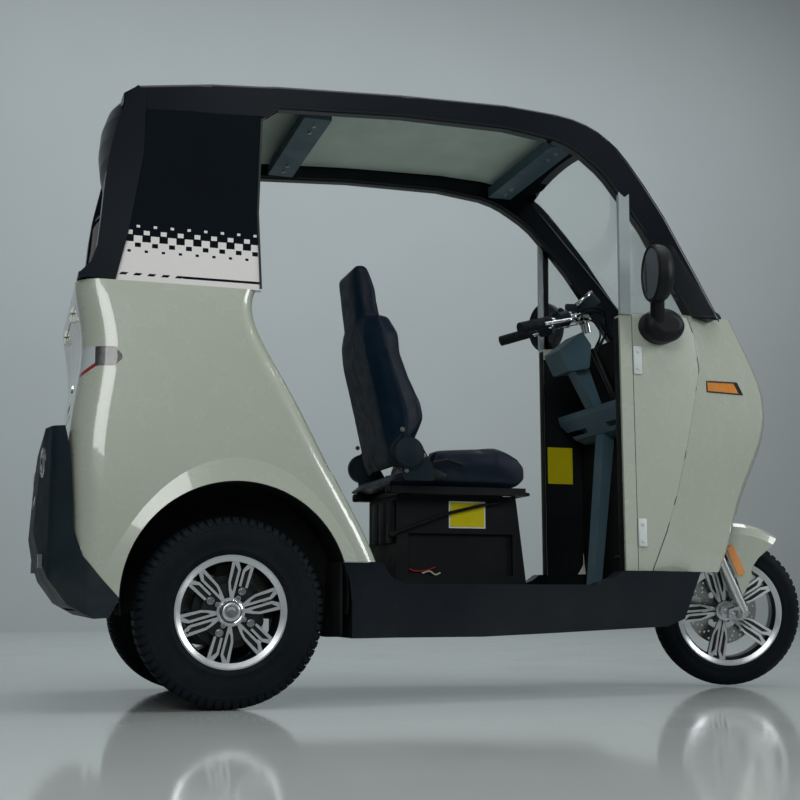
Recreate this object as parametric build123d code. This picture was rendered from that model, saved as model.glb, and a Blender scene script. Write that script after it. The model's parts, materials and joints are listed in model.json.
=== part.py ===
from build123d import *
import math
import os

# Three wheeled car with an open cabin, in millimetres.
# X is forward, Y is to the left and Z is up.  The sizes below are measured from the point on the
# floor under the rear axle, and every piece is moved back by ORIGIN_X when it is saved, so that
# the origin is the middle of the whole vehicle on the floor.
ORIGIN_X = 704.6

# Wheels
WHEELBASE = 1660.0
REAR_TYRE_RADIUS = 239.0
REAR_TYRE_WIDTH = 118.0
REAR_TRACK = 752.0
REAR_RIM_RADIUS = 142.0
REAR_SPOKES = 6
REAR_SPOKE_TURN = 16.0
FRONT_TYRE_RADIUS = 233.0
FRONT_TYRE_WIDTH = 90.0
FRONT_RIM_RADIUS = 166.0
FRONT_SPOKES = 5
FRONT_SPOKE_TURN = 39.0

# Steering: the car stands with its front wheel turned to the right
RAKE = 25.0
FORK_OFFSET = 47.0
STEER_AT_REST = -16.6
CLAMP_Z = 1130.0
FORK_HALF_GAP = 72.0
# The turned wheel leans, so its axle sits this much higher for the tyre to stand on the floor
FRONT_SETTLE = 1.8

# Rear body
ARCH_X = 10.0
ARCH_Z = 277.0
ARCH_RADIUS = 288.0
ARCH_INNER_Y = 292.0
BAY_HALF = 262.0
CABIN_HALF = 345.0
BENCH_FLOOR_Z = 590.0
REAR_FLOOR_THICKNESS = 30.0
BODY_TOP_Z = 1078.0

# Front body
DOOR_POST_X = 1164.0
FRONT_HALF = 298.0
FRONT_BOTTOM_Z = 352.0
FRONT_WALL = 26.0
NOSE_OPENING_HALF = 178.0
NOSE_OPENING_TOP = 560.0

# Cabin frame
ROOF_HALF = 296.0
RAIL_WIDTH = 46.0
GLASS = 5.0
FLOOR_Z = 300.0
SILL_BOTTOM_Z = 172.0

# Gaps
SEAM = 1.0
LID_GAP = 6.0
RUNNING_GAP = 0.05
# Loose scraps smaller than this share of the largest solid are dropped after a cut
SCRAP_SHARE = 0.02

RAKE_SIN = math.sin(math.radians(RAKE))
RAKE_COS = math.cos(math.radians(RAKE))
AXIS_UP = Vector(-RAKE_SIN, 0, RAKE_COS)
AXIS_FORWARD = Vector(RAKE_COS, 0, RAKE_SIN)
FRONT_AXLE = Vector(WHEELBASE, 0, FRONT_TYRE_RADIUS + FRONT_SETTLE)
STEER_BASE = FRONT_AXLE - AXIS_FORWARD * FORK_OFFSET
CLAMP = STEER_BASE + AXIS_UP * ((CLAMP_Z - STEER_BASE.Z) / RAKE_COS)


# Outlines

def side_plate(outline, y_low, y_high, rounding=0.0):
    """A solid between two planes of constant Y, from an outline of (x, z) points."""
    plane = Plane(origin=(0, y_low, 0), x_dir=(1, 0, 0), z_dir=(0, -1, 0))
    face = plane * outline_face(outline, rounding)
    return extrude(face, amount=y_high - y_low, dir=(0, 1, 0))


def plan_plate(outline, z_low, z_high, rounding=0.0):
    """A solid between two heights, from an outline of (x, y) points."""
    face = Plane.XY.offset(z_low) * outline_face(outline, rounding)
    return extrude(face, amount=z_high - z_low, dir=(0, 0, 1))


def front_plate(outline, x_low, x_high, rounding=0.0):
    """A solid between two planes of constant X, from an outline of (y, z) points."""
    plane = Plane(origin=(x_low, 0, 0), x_dir=(0, 1, 0), z_dir=(1, 0, 0))
    face = plane * outline_face(outline, rounding)
    return extrude(face, amount=x_high - x_low, dir=(1, 0, 0))


def outline_face(outline, rounding):
    if rounding > 0:
        return make_face(FilletPolyline(*outline, radius=rounding, close=True))
    return make_face(Polyline(*outline, close=True))


def block(x, y, z):
    """A box given by its low and high limits along each axis."""
    size = (x[1] - x[0], y[1] - y[0], z[1] - z[0])
    middle = ((x[0] + x[1]) / 2, (y[0] + y[1]) / 2, (z[0] + z[1]) / 2)
    return Pos(*middle) * Box(*size)


def rod(start, end, radius):
    """A round bar from one point to another."""
    start, end = Vector(*start), Vector(*end)
    along = end - start
    return Plane(origin=start, z_dir=along) * extrude(Circle(radius), amount=along.length)


def tube_along(points, radius, bend):
    """A round bar through points, with every corner rounded."""
    path = FilletPolyline(*points, radius=bend) if len(points) > 2 else Line(*points)
    start = path @ 0
    profile = Plane(origin=start, z_dir=path % 0) * Circle(radius)
    return sweep(profile, path=path)


def mirrored(solid):
    return solid.mirror(Plane.XZ)


def both_sides(solid):
    return Compound(children=list(solid.solids()) + list(mirrored(solid).solids()))


# Wheels

def tyre(radius, width, rim_radius, y_middle):
    """A tyre with a round shoulder, standing on its rim."""
    bead = rim_radius - 6.0
    half = width / 2
    wall = rim_radius + (radius - rim_radius) * 0.5
    outline = [
        (bead, -half * 0.80), (rim_radius + 8, -half * 0.90), (wall, -half), (radius - 16, -half * 0.90),
        (radius, -half * 0.55), (radius, half * 0.55), (radius - 16, half * 0.90), (wall, half),
        (rim_radius + 8, half * 0.90), (bead, half * 0.80),
    ]
    plane = Plane(origin=(0, y_middle, 0), x_dir=(0, 0, 1), z_dir=(-1, 0, 0))
    face = plane * outline_face([(r, y) for r, y in outline], 7.0)
    return revolve(face, axis=Axis.Y)


# One loop of a spoke pair: share of the flange's inner radius, and distance from the pair's middle line
LOOP = [(1.02, 13.0), (1.02, 29.0), (0.56, 25.5), (0.42, 20.0), (0.16, 11.0), (0.16, 2.6), (0.86, 2.6)]
LOOP_POCKET = [(0.935, 20.0), (0.56, 19.2), (0.45, 14.5), (0.40, 9.0), (0.83, 9.0)]
# The same for a loop that stops short of a wheel nut
SHORT_LOOP = [(1.02, 13.0), (1.02, 29.0), (0.56, 25.5), (0.53, 25.4), (0.53, 2.6), (0.86, 2.6)]
SHORT_POCKET = [(0.935, 20.0), (0.56, 19.2), (0.50, 19.0), (0.50, 9.0), (0.83, 9.0)]
SPOKE_DEPTH = 16.0
POCKET_DEPTH = 8.0
FLANGE_WIDTH = 16.0
NUT_CIRCLE = 58.0
NUT_TURN = 61.5


def barrel(rim_radius, width, y_middle):
    """The ring that carries the tyre, with a wide flange at each side."""
    half = width / 2
    outline = [
        (rim_radius, -half), (rim_radius, -half + 7), (rim_radius - 7, -half + 9), (rim_radius - 14, -half * 0.4),
        (rim_radius - 14, half * 0.4), (rim_radius - 7, half - 9), (rim_radius, half - 7), (rim_radius, half),
        (rim_radius - 4, half), (rim_radius - FLANGE_WIDTH, half - 7), (rim_radius - FLANGE_WIDTH - 3, half - 12),
        (rim_radius - 22, half * 0.3), (rim_radius - 22, -half * 0.3),
        (rim_radius - FLANGE_WIDTH, -half + 7), (rim_radius - 4, -half),
    ]
    plane = Plane(origin=(0, y_middle, 0), x_dir=(0, 0, 1), z_dir=(-1, 0, 0))
    return revolve(plane * outline_face(outline, 0), axis=Axis.Y)


def across_face(table, reach, side, dish, hub_share):
    """A loop's outline in its own plane, which leans by dish."""
    lean = math.cos(math.radians(dish))
    return [((1 - (1 - max(share, hub_share)) / lean) * reach, side * z) for share, z in table]


def spoke_pair(reach, face_y, outward, dish, hub_share, short_side):
    """Two slotted loops along +X, tilted inwards by dish; the loop on short_side is cut short."""
    back_y = face_y - outward * SPOKE_DEPTH
    floor_y = face_y - outward * POCKET_DEPTH
    pair = []
    for side in (-1, 1):
        loop, pocket = (SHORT_LOOP, SHORT_POCKET) if side == short_side else (LOOP, LOOP_POCKET)
        low, high = sorted((back_y, face_y))
        spoke = side_plate(across_face(loop, reach, side, dish, hub_share), low, high)
        low, high = sorted((floor_y, face_y + outward * 3))
        spoke -= side_plate(across_face(pocket, reach, side, dish, hub_share), low, high)
        pair.append(spoke)
    tilt = Pos(reach, face_y, 0) * Rot(0, 0, outward * dish) * Pos(-reach, -face_y, 0)
    return [tilt * spoke for spoke in pair]


def rim(rim_radius, width, y_middle, outward, spokes, turn, dish, hub_share, short_sides):
    """A cast rim: the barrel and pairs of slotted spokes in its outer face."""
    reach = rim_radius - FLANGE_WIDTH
    face_y = y_middle + outward * (width / 2 - 8)
    solid = barrel(rim_radius, width, y_middle)
    for group in range(spokes):
        for spoke in spoke_pair(reach, face_y, outward, dish, hub_share, short_sides[group]):
            solid += Rot(0, -turn - group * 360.0 / spokes, 0) * spoke
    return solid


def around(radius, degrees):
    """A point on a circle in the side view, counted from forward and upwards."""
    return radius * math.cos(math.radians(degrees)), radius * math.sin(math.radians(degrees))


# Which loop of each rear spoke pair stops at a nut: 1 is the loop above the pair's middle line, -1 the one below
REAR_SHORT = [0, -1, 1, 0, -1, 1]


def rear_wheel(side):
    """Tyre and rim of one rear wheel, at the end of the rear axle."""
    middle = side * REAR_TRACK / 2
    place = Pos(0, 0, REAR_TYRE_RADIUS)
    rubber = tyre(REAR_TYRE_RADIUS, REAR_TYRE_WIDTH, REAR_RIM_RADIUS, middle)
    metal = rim(REAR_RIM_RADIUS, 104.0, middle, side, REAR_SPOKES, REAR_SPOKE_TURN, 0.0, 0.26, REAR_SHORT)
    face_y = middle + side * 44
    hub = rod((0, face_y - side * 46, 0), (0, face_y + side * 1, 0), 36.0)
    hub += rod((0, face_y - side * 20, 0), (0, face_y - side * 11, 0), 72.0)
    cap = rod((0, face_y, 0), (0, face_y + side * 9, 0), 25.0)
    hub += fillet(cap.edges().sort_by(Axis.Y)[-1 if side > 0 else 0], 6)
    for nut in range(4):
        x, z = around(NUT_CIRCLE, NUT_TURN + nut * 90)
        hub += rod((x, face_y - side * 44, z), (x, face_y - side * 3, z), 9.0)
        x, z = around(38.0, NUT_TURN + nut * 90)
        hub += rod((x, face_y - side * 20, z), (x, face_y, z), 6.5)
    hub += rod((0, face_y - side * 60, 0), (0, face_y - side * 40, 0), 92.0)
    bore = rod((0, middle - side * 80, 0), (0, middle + side * 30, 0), 15.0 + RUNNING_GAP)
    metal = metal + hub - bore
    return place * (rubber - metal), place * metal


FRONT_DISH = 17.8
DISC_Y = 46.0
DISC_THICKNESS = 4.0
DISC_RADIUS = 112.0


def front_rim():
    """Rim of the front wheel, its hub and bore, built with the wheel straight ahead."""
    metal = rim(FRONT_RIM_RADIUS, 84.0, 0, -1, FRONT_SPOKES, FRONT_SPOKE_TURN, FRONT_DISH, 0.18, [0] * FRONT_SPOKES)
    metal += rod((0, 0, 0), (0, DISC_Y, 0), 31.0) + rod((0, -8, 0), (0, 0, 0), 20.0)
    return metal - rod((0, -60, 0), (0, 60, 0), 7.5 + RUNNING_GAP)


def brake_disc():
    """Perforated disc on the left of the front hub."""
    face = Circle(DISC_RADIUS) - Circle(7.5 + RUNNING_GAP)
    for row, radius in enumerate((82.0, 92.0, 102.0)):
        for hole in range(18):
            x, y = around(radius, hole * 20.0 + row * 6.7)
            face -= Pos(x, y) * Circle(3.2)
    for window in range(6):
        face -= Rot(0, 0, window * 60.0) * Pos(54, 0) * SlotOverall(34, 20, rotation=90)
    plane = Plane(origin=(0, DISC_Y, 0), x_dir=(1, 0, 0), z_dir=(0, 1, 0))
    return extrude(plane * face, amount=DISC_THICKNESS)


# Steered group, built with the wheel straight ahead

def steer_point(along, ahead, y):
    """A point measured from the axle: up along the steering axis, ahead of it, and to the left."""
    point = STEER_BASE + AXIS_UP * along + AXIS_FORWARD * ahead
    return (point.X, y, point.Z)


CROWN = 302.0
LEG_AHEAD = 82.0


def fork():
    """Steerer, yoke, legs, axle and brake caliper."""
    solid = rod(steer_point(CROWN - 16, 0, 0), steer_point(935, 0, 0), 12.5)
    solid += rod(steer_point(CROWN - 16, 0, 0), steer_point(CROWN + 16, 0, 0), 26)
    # Outline of the block that joins a leg to the axle, measured from the axle
    lug = [(-15, -13), (-15, 15), (10, 24), (44, 28), (46, -2), (24, -18)]
    for y in (-FORK_HALF_GAP, FORK_HALF_GAP):
        solid += rod(steer_point(-8, LEG_AHEAD, y), steer_point(180, LEG_AHEAD, y), 17)
        solid += rod(steer_point(175, LEG_AHEAD, y), steer_point(CROWN + 14, LEG_AHEAD, y), 13)
        solid += rod(steer_point(CROWN, LEG_AHEAD, y), steer_point(CROWN, 0, 0), 12)
        solid += Pos(*FRONT_AXLE) * side_plate(lug, y - 13, y + 13)
    solid += rod(steer_point(0, FORK_OFFSET, -98), steer_point(0, FORK_OFFSET, 98), 7.5)
    caliper = side_plate([(-132, -34), (-132, 30), (-88, 44), (-70, 34), (-70, -30)], 34, 66)
    caliper -= side_plate([(-118, -60), (-118, 60), (-60, 60), (-60, -60)], DISC_Y - 6, DISC_Y + 10)
    caliper += side_plate([(-90, -10), (-90, 12), (30, 20), (30, -8)], 58, 66)
    return solid + Pos(*FRONT_AXLE) * caliper


# Front fender: half of its section as radius and half width, and its side view measured from the axle
FENDER_SECTION = [(54, 84), (250, 84), (272, 71), (281, 46), (285, 0)]
FENDER_WALL = 4.0
FENDER_SIDE = [
    (150, 252), (117, 214), (75, 176), (54, 142), (56, 119), (34, 68), (26, 60), (6, 119), (-41, 216), (-120, 206),
    (-186, 120), (-270, 160), (-240, 300), (-60, 340), (60, 330), (150, 300),
]


def fender():
    """Curved guard over the front tyre, with a skirt down the front of each fork leg."""
    outer = FENDER_SECTION + [(r, -y) for r, y in reversed(FENDER_SECTION[:-1])]
    inner = [(r - FENDER_WALL * (r > 54), y - math.copysign(FENDER_WALL, y) * (y != 0)) for r, y in outer]
    plane = Plane(origin=(0, 0, 0), x_dir=(0, 0, 1), z_dir=(-1, 0, 0))
    shell = revolve(plane * outline_face(outer + inner[::-1], 0), axis=Axis.Y)
    guard = shell & side_plate(FENDER_SIDE, -100, 100)
    return Pos(*FRONT_AXLE) * max(guard.solids(), key=lambda piece: piece.volume)


def fork_reflectors():
    """Amber strip on the skirt of the fender, on both sides."""
    strip = side_plate([(-27, 206), (-7, 218), (34, 129), (12, 119)], -89, -84, 7)
    return Pos(*FRONT_AXLE) * both_sides(strip)


def bar_point(x, y, z):
    return (CLAMP.X + x, y, CLAMP.Z + z)


# One half of the handlebar, from the clamp outwards: x behind the clamp, y to the side, z up
BAR_HALF = [(0, 0, 22), (-6, 70, 24), (-62, 140, 18), (-169, 202, -12), (-233, 240, -30)]


def bar_half(side):
    return [bar_point(x, side * y, z) for x, y, z in BAR_HALF]


def handlebar():
    """Bar, clamp and the two brake levers."""
    right, left = bar_half(-1), bar_half(1)
    solid = tube_along(right, 11, 20) + tube_along(left, 11, 20)
    solid += rod(bar_point(10, -16, -20), bar_point(-2, -16, 30), 12)
    solid += rod(bar_point(10, 16, -20), bar_point(-2, 16, 30), 12)
    for side in (-1, 1):
        solid += tube_along([bar_point(-84, side * 154, 12), bar_point(-68, side * 190, 4),
                             bar_point(-160, side * 222, -16)], 6.5, 14)
    return solid


def along(start, end, share):
    return tuple(a + (b - a) * share for a, b in zip(start, end))


def grips():
    """Rubber grip on each end of the bar."""
    pieces = []
    for side in (-1, 1):
        points = bar_half(side)
        start = along(points[3], points[4], -0.45)
        end = along(points[3], points[4], 1.06)
        sleeve = rod(start, end, 17)
        sleeve -= rod(start, points[4], 11.05)
        pieces.append(sleeve)
    return Compound(children=[s for piece in pieces for s in piece.solids()])


def switch_pods():
    """Switch housings beside the grips and the round speedometer over the clamp."""
    pieces = []
    for side in (-1, 1):
        points = bar_half(side)
        start, end = along(points[2], points[3], 0.20), along(points[2], points[3], 0.50)
        pod = rod(start, end, 25) - rod(along(points[2], points[3], 0), points[3], 11.05)
        pieces += list(pod.solids())
    back, face = Vector(*bar_point(18, 0, 52)), Vector(*bar_point(-12, 0, 84))
    clock = rod(tuple(back), tuple(face), 46)
    stem = rod(bar_point(12, 0, 36), tuple(back), 12)
    return Compound(children=pieces + list((clock + stem).solids()))


def steered(solid):
    """The steered group turned to where it stands."""
    axis = Axis(origin=tuple(STEER_BASE), direction=tuple(AXIS_UP))
    return solid.rotate(axis, STEER_AT_REST)


# Rear body

# Height, rear and front limit, half width, and the radii of the rear and front corners
REAR_SECTIONS = [
    (240, -372, 402, 436, 60, 40),
    (400, -394, 363, 448, 70, 45),
    (560, -402, 280, 446, 80, 50),
    (720, -402, 200, 434, 85, 55),
    (860, -384, 126, 418, 85, 55),
    (980, -390, 64, 402, 80, 50),
    (BODY_TOP_Z, -404, 60, 384, 70, 40),
]


def rear_section(height, x_rear, x_front, half, r_rear, r_front):
    """A rounded oblong at one height."""
    k = math.sqrt(0.5)
    lines = []
    corners = [
        (x_front, -half, -1, 1, r_front), (x_front, half, -1, -1, r_front),
        (x_rear, half, 1, -1, r_rear), (x_rear, -half, 1, 1, r_rear),
    ]
    ends = []
    for x, y, into_x, into_y, radius in corners:
        on_end = (x, y + into_y * radius)
        on_side = (x + into_x * radius, y)
        middle = (x + into_x * radius * (1 - k), y + into_y * radius * (1 - k))
        first, last = (on_side, on_end) if into_x * into_y < 0 else (on_end, on_side)
        ends.append((first, middle, last))
    for index, (first, middle, last) in enumerate(ends):
        lines.append(ThreePointArc(first, middle, last))
        lines.append(Line(last, ends[(index + 1) % 4][0]))
    return Plane.XY.offset(height) * make_face(lines)


def rear_outer():
    return loft([rear_section(*row) for row in REAR_SECTIONS])


FLARE_EDGE_Y = 455.0
FLARE_OUTER_Y = 431.0
FLARE_REACH = 112.0
FLARE_BULGE = 9.0


# Where the body's side ends at the bumper, in the side view
BUMPER_EDGE = [(-418, 694), (-405, 640), (-390, 440), (-366, 375), (-318, 318), (-276, 272)]


def arch_flare():
    """Shallow cone round the right arch, which runs out into the side of the body."""
    radii = (ARCH_RADIUS - 20, ARCH_RADIUS + FLARE_REACH)
    outline = [(radii[0], -FLARE_EDGE_Y), (ARCH_RADIUS, -FLARE_EDGE_Y), (radii[1], -FLARE_OUTER_Y),
               (radii[1], -340), (radii[0], -340)]
    plane = Plane(origin=(0, 0, 0), x_dir=(0, 0, 1), z_dir=(-1, 0, 0))
    ring = Pos(ARCH_X, 0, ARCH_Z) * revolve(plane * outline_face(outline, 0), axis=Axis.Y)
    wider = loft([rear_section(z, rear, front, half + FLARE_BULGE, *corners)
                  for z, rear, front, half, *corners in REAR_SECTIONS])
    flare = ring & wider & block((-500, 500), (-500, -300), (262, 700))
    return flare - side_plate(BUMPER_EDGE + [(-276, 100), (-600, 100), (-600, 694)], -500, -300)


def rear_tub(outer):
    """The whole rear body before it is split into panels."""
    flare = arch_flare()
    tub = outer + flare + mirrored(flare)
    tub -= block((-350, 700), (-CABIN_HALF, CABIN_HALF), (BENCH_FLOOR_Z, 1200))
    tub -= block((-358, 700), (-BAY_HALF, BAY_HALF), (100, BENCH_FLOOR_Z - REAR_FLOOR_THICKNESS))
    for side in (-1, 1):
        low, high = sorted((side * ARCH_INNER_Y, side * 500))
        tub -= rod((ARCH_X, low, ARCH_Z), (ARCH_X, high, ARCH_Z), ARCH_RADIUS)
        tub -= block((ARCH_X - ARCH_RADIUS, ARCH_X + ARCH_RADIUS), (low, high), (100, ARCH_Z))
        low, high = sorted((side * 250, side * 300))
        tub -= block((-70, 70), (low, high), (100, 372))
    tub -= block((274, 500), (-500, 500), (100, 366))
    tub -= block((-500, -250), (-500, 500), (100, 262))
    return tub


LID_HALF = 236.0
LID_Z = (742.0, 1032.0)
LID_DEPTH = 48.0
LID_HINGE = (-403.0, 1031.0)
HINGE_Y = (150.0, 174.0)
KNUCKLE_RADIUS = 4.5
PIN_RADIUS = 2.4


def lid_knuckles():
    """Two short tubes on the lid's upper edge."""
    x, z = LID_HINGE
    tube = rod((x, HINGE_Y[0], z), (x, HINGE_Y[1], z), KNUCKLE_RADIUS)
    tube += block((x - 3, -388), HINGE_Y, (1006, z - 5.4)) + block((x - 3, x + 2), HINGE_Y, (1010, z))
    tube -= rod((x, 100, z), (x, 220, z), PIN_RADIUS + RUNNING_GAP)
    return tube


def lid_pins():
    """Pins and brackets of the lid's hinge, on the body."""
    x, z = LID_HINGE
    pins = rod((x, HINGE_Y[0] - 10, z), (x, HINGE_Y[1] + 10, z), PIN_RADIUS)
    for y in (HINGE_Y[0] - 10, HINGE_Y[1] + 2):
        pins += rod((x, y, z), (x, y + 8, z), KNUCKLE_RADIUS)
        pins += block((x - 2, -385), (y, y + 8), (z + 1.5, z + 12))
    return pins


def rear_panels():
    """Side panels, tail panel, bench base and trunk lid, all cut from one tub."""
    outer = rear_outer()
    tub = rear_tub(outer)
    side_cut = block((-600, 700), (-700, -BAY_HALF - SEAM / 2), (0, 1300))
    right = tub & side_cut
    middle = tub & block((-600, 700), (-BAY_HALF + SEAM / 2, BAY_HALF - SEAM / 2), (0, 1300))
    tail = middle & block((-600, -250 - SEAM / 2), (-300, 300), (0, 1300))
    bench = middle & block((-250 + SEAM / 2, 700), (-300, 300), (0, 1300))
    lid_space = block((-600, -340), (-LID_HALF, LID_HALF), LID_Z)
    lid = outer & block((-600, -404 + LID_DEPTH),
                        (-LID_HALF + LID_GAP, LID_HALF - LID_GAP), (LID_Z[0] + LID_GAP, LID_Z[1] - LID_GAP))
    handle = front_plate([(-72, LID_Z[0] + 30), (72, LID_Z[0] + 30), (72, LID_Z[0] + 62), (-72, LID_Z[0] + 62)],
                         -450, -376, 12)
    knuckles, pins = lid_knuckles(), lid_pins()
    lid = lid - handle + knuckles + mirrored(knuckles)
    x, z = LID_HINGE
    notch = rod((x, HINGE_Y[0] - 1.5, z), (x, HINGE_Y[1] + 1.5, z), KNUCKLE_RADIUS + 2)
    tail = tail - lid_space - notch - mirrored(notch) + pins + mirrored(pins)
    riser = block((209, 232), (-BAY_HALF + 1, BAY_HALF - 1), (FLOOR_Z + 1, BENCH_FLOOR_Z - 10))
    bench = bench + riser
    bench &= block((-600, 236), (-300, 300), (0, 1300))
    return right, mirrored(right), tail, bench, lid


def rear_bumper(outer):
    """Dark bumper that hangs behind the body and wraps round both corners."""
    profile = BUMPER_EDGE + [
        (-300, 226), (-336, 224), (-398, 258), (-446, 322), (-466, 376), (-480, 440), (-470, 614), (-462, 694),
    ]
    plan = [(-482, -250), (-482, 250), (-446, 400), (-350, 446), (-200, 452), (-200, -452), (-350, -446),
            (-446, -400)]
    shell = side_plate(profile, -452, 452) & plan_plate(plan, 200, 720, 30)
    shell -= outer & block((-600, 0), (-BAY_HALF - SEAM / 2, BAY_HALF + SEAM / 2), (0, 1200))
    for y in (-75.0, 75.0):
        shell -= rod((-500, y, 530), (-455, y, 530), 3.25)
    for y in (-372.0, 372.0):
        shell -= rod((ARCH_X, y - 90, ARCH_Z), (ARCH_X, y + 90, ARCH_Z), ARCH_RADIUS + 1)
    solids = sorted(shell.solids(), key=lambda piece: piece.volume)
    return solids[-1]


# Floor

def floor_pan():
    """Floor with a sill along each side and a mudguard before each rear wheel."""
    profile = [
        (284, 364), (300, 318), (307, 259), (307, SILL_BOTTOM_Z), (690, 171), (900, 178), (1130, 187),
        (1290, 193), (1350, 215), (1412, FRONT_BOTTOM_Z - 2), (1140, FRONT_BOTTOM_Z - 2), (1112, 330), (1050, 311),
        (465, 311), (423, 329), (398, 364),
    ]
    plan = [(284, -446), (330, -446), (440, -402), (1150, -318), (1420, -286),
            (1420, 286), (1150, 318), (440, 402), (330, 446), (284, 446)]
    well = [(300, -360), (440, -344), (1120, -268), (1300, -262), (1300, 262), (1120, 268), (440, 344), (300, 360)]
    pan = side_plate(profile, -460, 460) & plan_plate(plan, 100, 400)
    pan -= plan_plate(well, FLOOR_Z, 500)
    pan -= block((200, 1240), (-300, 300), (100, FLOOR_Z - 20))
    pan -= block((1240, 1500), (-232, 232), (100, 500))
    splash = block((276, 312), (-304, -234), (SILL_BOTTOM_Z, 364))
    return pan + splash + mirrored(splash)


# Chassis

LOW_RAIL_Z = 236.0
HIGH_RAIL_Z = 400.0
RAIL_Y = 190.0
FRAME_FRONT_X = 1334.0


def chassis():
    """Lower frame: two rails under the floor and their cross members."""
    frame = block((208, FRAME_FRONT_X), (-RAIL_Y - 18, -RAIL_Y + 18), (LOW_RAIL_Z - 22, LOW_RAIL_Z + 22))
    frame += mirrored(frame)
    for x in (680.0, 900.0, 1200.0, FRAME_FRONT_X - 18):
        frame += block((x - 18, x + 18), (-RAIL_Y, RAIL_Y), (LOW_RAIL_Z - 20, LOW_RAIL_Z + 20))
    return frame


def rear_subframe():
    """Rails that rise over the axle, with the posts under the bench and the trailing arms."""
    frame = block((-330, 172), (-RAIL_Y - 18, -RAIL_Y + 18), (HIGH_RAIL_Z - 20, HIGH_RAIL_Z + 20))
    frame += block((172, 208), (-RAIL_Y - 18, -RAIL_Y + 18), (LOW_RAIL_Z - 22, HIGH_RAIL_Z + 20))
    for x in (-330.0, 110.0):
        frame += block((x, x + 40), (-RAIL_Y - 16, -RAIL_Y + 16), (HIGH_RAIL_Z, BENCH_FLOOR_Z - REAR_FLOOR_THICKNESS))
    frame += rod((20, -RAIL_Y, REAR_TYRE_RADIUS), (174, -RAIL_Y, LOW_RAIL_Z), 14)
    frame += mirrored(frame)
    frame += block((172, 208), (-RAIL_Y, RAIL_Y), (LOW_RAIL_Z - 20, LOW_RAIL_Z + 20))
    frame += block((-328, -292), (-RAIL_Y, RAIL_Y), (HIGH_RAIL_Z - 18, HIGH_RAIL_Z + 18))
    return frame


def front_frame(lower):
    """Uprights that carry the steering head and the leg shield."""
    x = FRAME_FRONT_X - 14
    frame = rod((x, -RAIL_Y, LOW_RAIL_Z), (x, -RAIL_Y * 0.8, 640), 14)
    frame += rod((x, -RAIL_Y * 0.8, 640), (x, -RAIL_Y * 0.7, 1040), 14)
    frame += rod((x, -RAIL_Y * 0.8, 640), steer_point(440, -10, -12), 14)
    frame += rod((x, -RAIL_Y, LOW_RAIL_Z + 80), steer_point(350, -10, -12), 13)
    frame += mirrored(frame)
    frame += rod((x, -RAIL_Y * 0.7, 1040), (x, RAIL_Y * 0.7, 1040), 12)
    frame += rod(steer_point(325, 0, 0), steer_point(500, 0, 0), 24)
    frame -= rod(steer_point(300, 0, 0), steer_point(540, 0, 0), 12.5 + RUNNING_GAP)
    return max((frame - lower).solids(), key=lambda piece: piece.volume)


def rear_axle():
    """Axle tube with its motor and final drive, and a stub for each wheel."""
    z = REAR_TYRE_RADIUS
    solid = rod((0, -300, z), (0, 300, z), 27)
    solid += rod((0, -REAR_TRACK / 2 - 20, z), (0, REAR_TRACK / 2 + 20, z), 15)
    solid += rod((0, 10, z), (0, 118, z), 96)
    solid += rod((0, -150, z), (0, 10, z), 82)
    for side in (-1, 1):
        solid += rod((0, side * 292, z), (0, side * 306, z), 88)
    return solid


def rear_springs():
    """Coil spring and damper on each side of the axle."""
    pieces = []
    for side in (-1, 1):
        y = side * 232
        foot, head = (-46, y, REAR_TYRE_RADIUS + 36), (-96, y, 552)
        damper = rod(foot, head, 24) + rod((-46, y - 14, REAR_TYRE_RADIUS + 40), (-46, y + 14, REAR_TYRE_RADIUS + 40), 14)
        pieces += list(damper.solids())
    return Compound(children=pieces)


def battery():
    return block((260, 640), (-150, 150), (FLOOR_Z - 112, FLOOR_Z - 21))


# Cabin frame

# Right roof rail and windscreen pillar: x, distance from the middle, top z, and height of the section
RAIL_ROWS = [
    (-262, 300, 1634, 84), (-60, 303, 1662, 94), (74, 304, 1672, 92), (120, 304, 1677, 66),
    (480, 303, 1697, 66), (800, 301, 1706, 74), (960, 300, 1698, 84), (1015, 299, 1690, 90), (1060, 297, 1678, 96),
    (1100, 295, 1661, 100), (1136, 292, 1640, 102), (1167, 290, 1617, 101), (1204, 286, 1580, 98),
    (1264, 280, 1508, 95), (1330, 272, 1422, 92), (1450, 254, 1240, 92),
    (1524, 240, 1128, 92),
]
RAIL_FOOT_Z = 1119.0


def rail_section(row, ahead, behind):
    """An oblong across the rail, square to its run in the side view."""
    x, y, top, height = row
    run = math.atan2(ahead[2] - behind[2], ahead[0] - behind[0])
    down = Vector(math.sin(run), 0, -math.cos(run))
    middle = Vector(x, -y, top) + down * (height / 2)
    normal = Vector(math.cos(run), 0, math.sin(run))
    plane = Plane(origin=middle, x_dir=(0, 1, 0), z_dir=normal)
    return plane * RectangleRounded(RAIL_WIDTH, height, 12)


def roof_rail():
    sections = []
    last = len(RAIL_ROWS) - 1
    for index, row in enumerate(RAIL_ROWS):
        ahead = RAIL_ROWS[min(index + 1, last)]
        behind = RAIL_ROWS[max(index - 1, 0)]
        sections.append(rail_section(row, ahead, behind))
    rail = loft(sections, ruled=True)
    return rail - block((1400, 1700), (-400, 0), (1000, RAIL_FOOT_Z))


# Roof skin: x, height at its edges and height in the middle
ROOF_ROWS = [
    (-296, 1616, 1638), (-262, 1640, 1672), (-60, 1666, 1706), (74, 1677, 1716), (480, 1702, 1726),
    (800, 1710, 1726), (960, 1702, 1722), (1060, 1683, 1710), (1120, 1650, 1690), (1140, 1638, 1680),
]
ROOF_THICKNESS = 26.0


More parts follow.
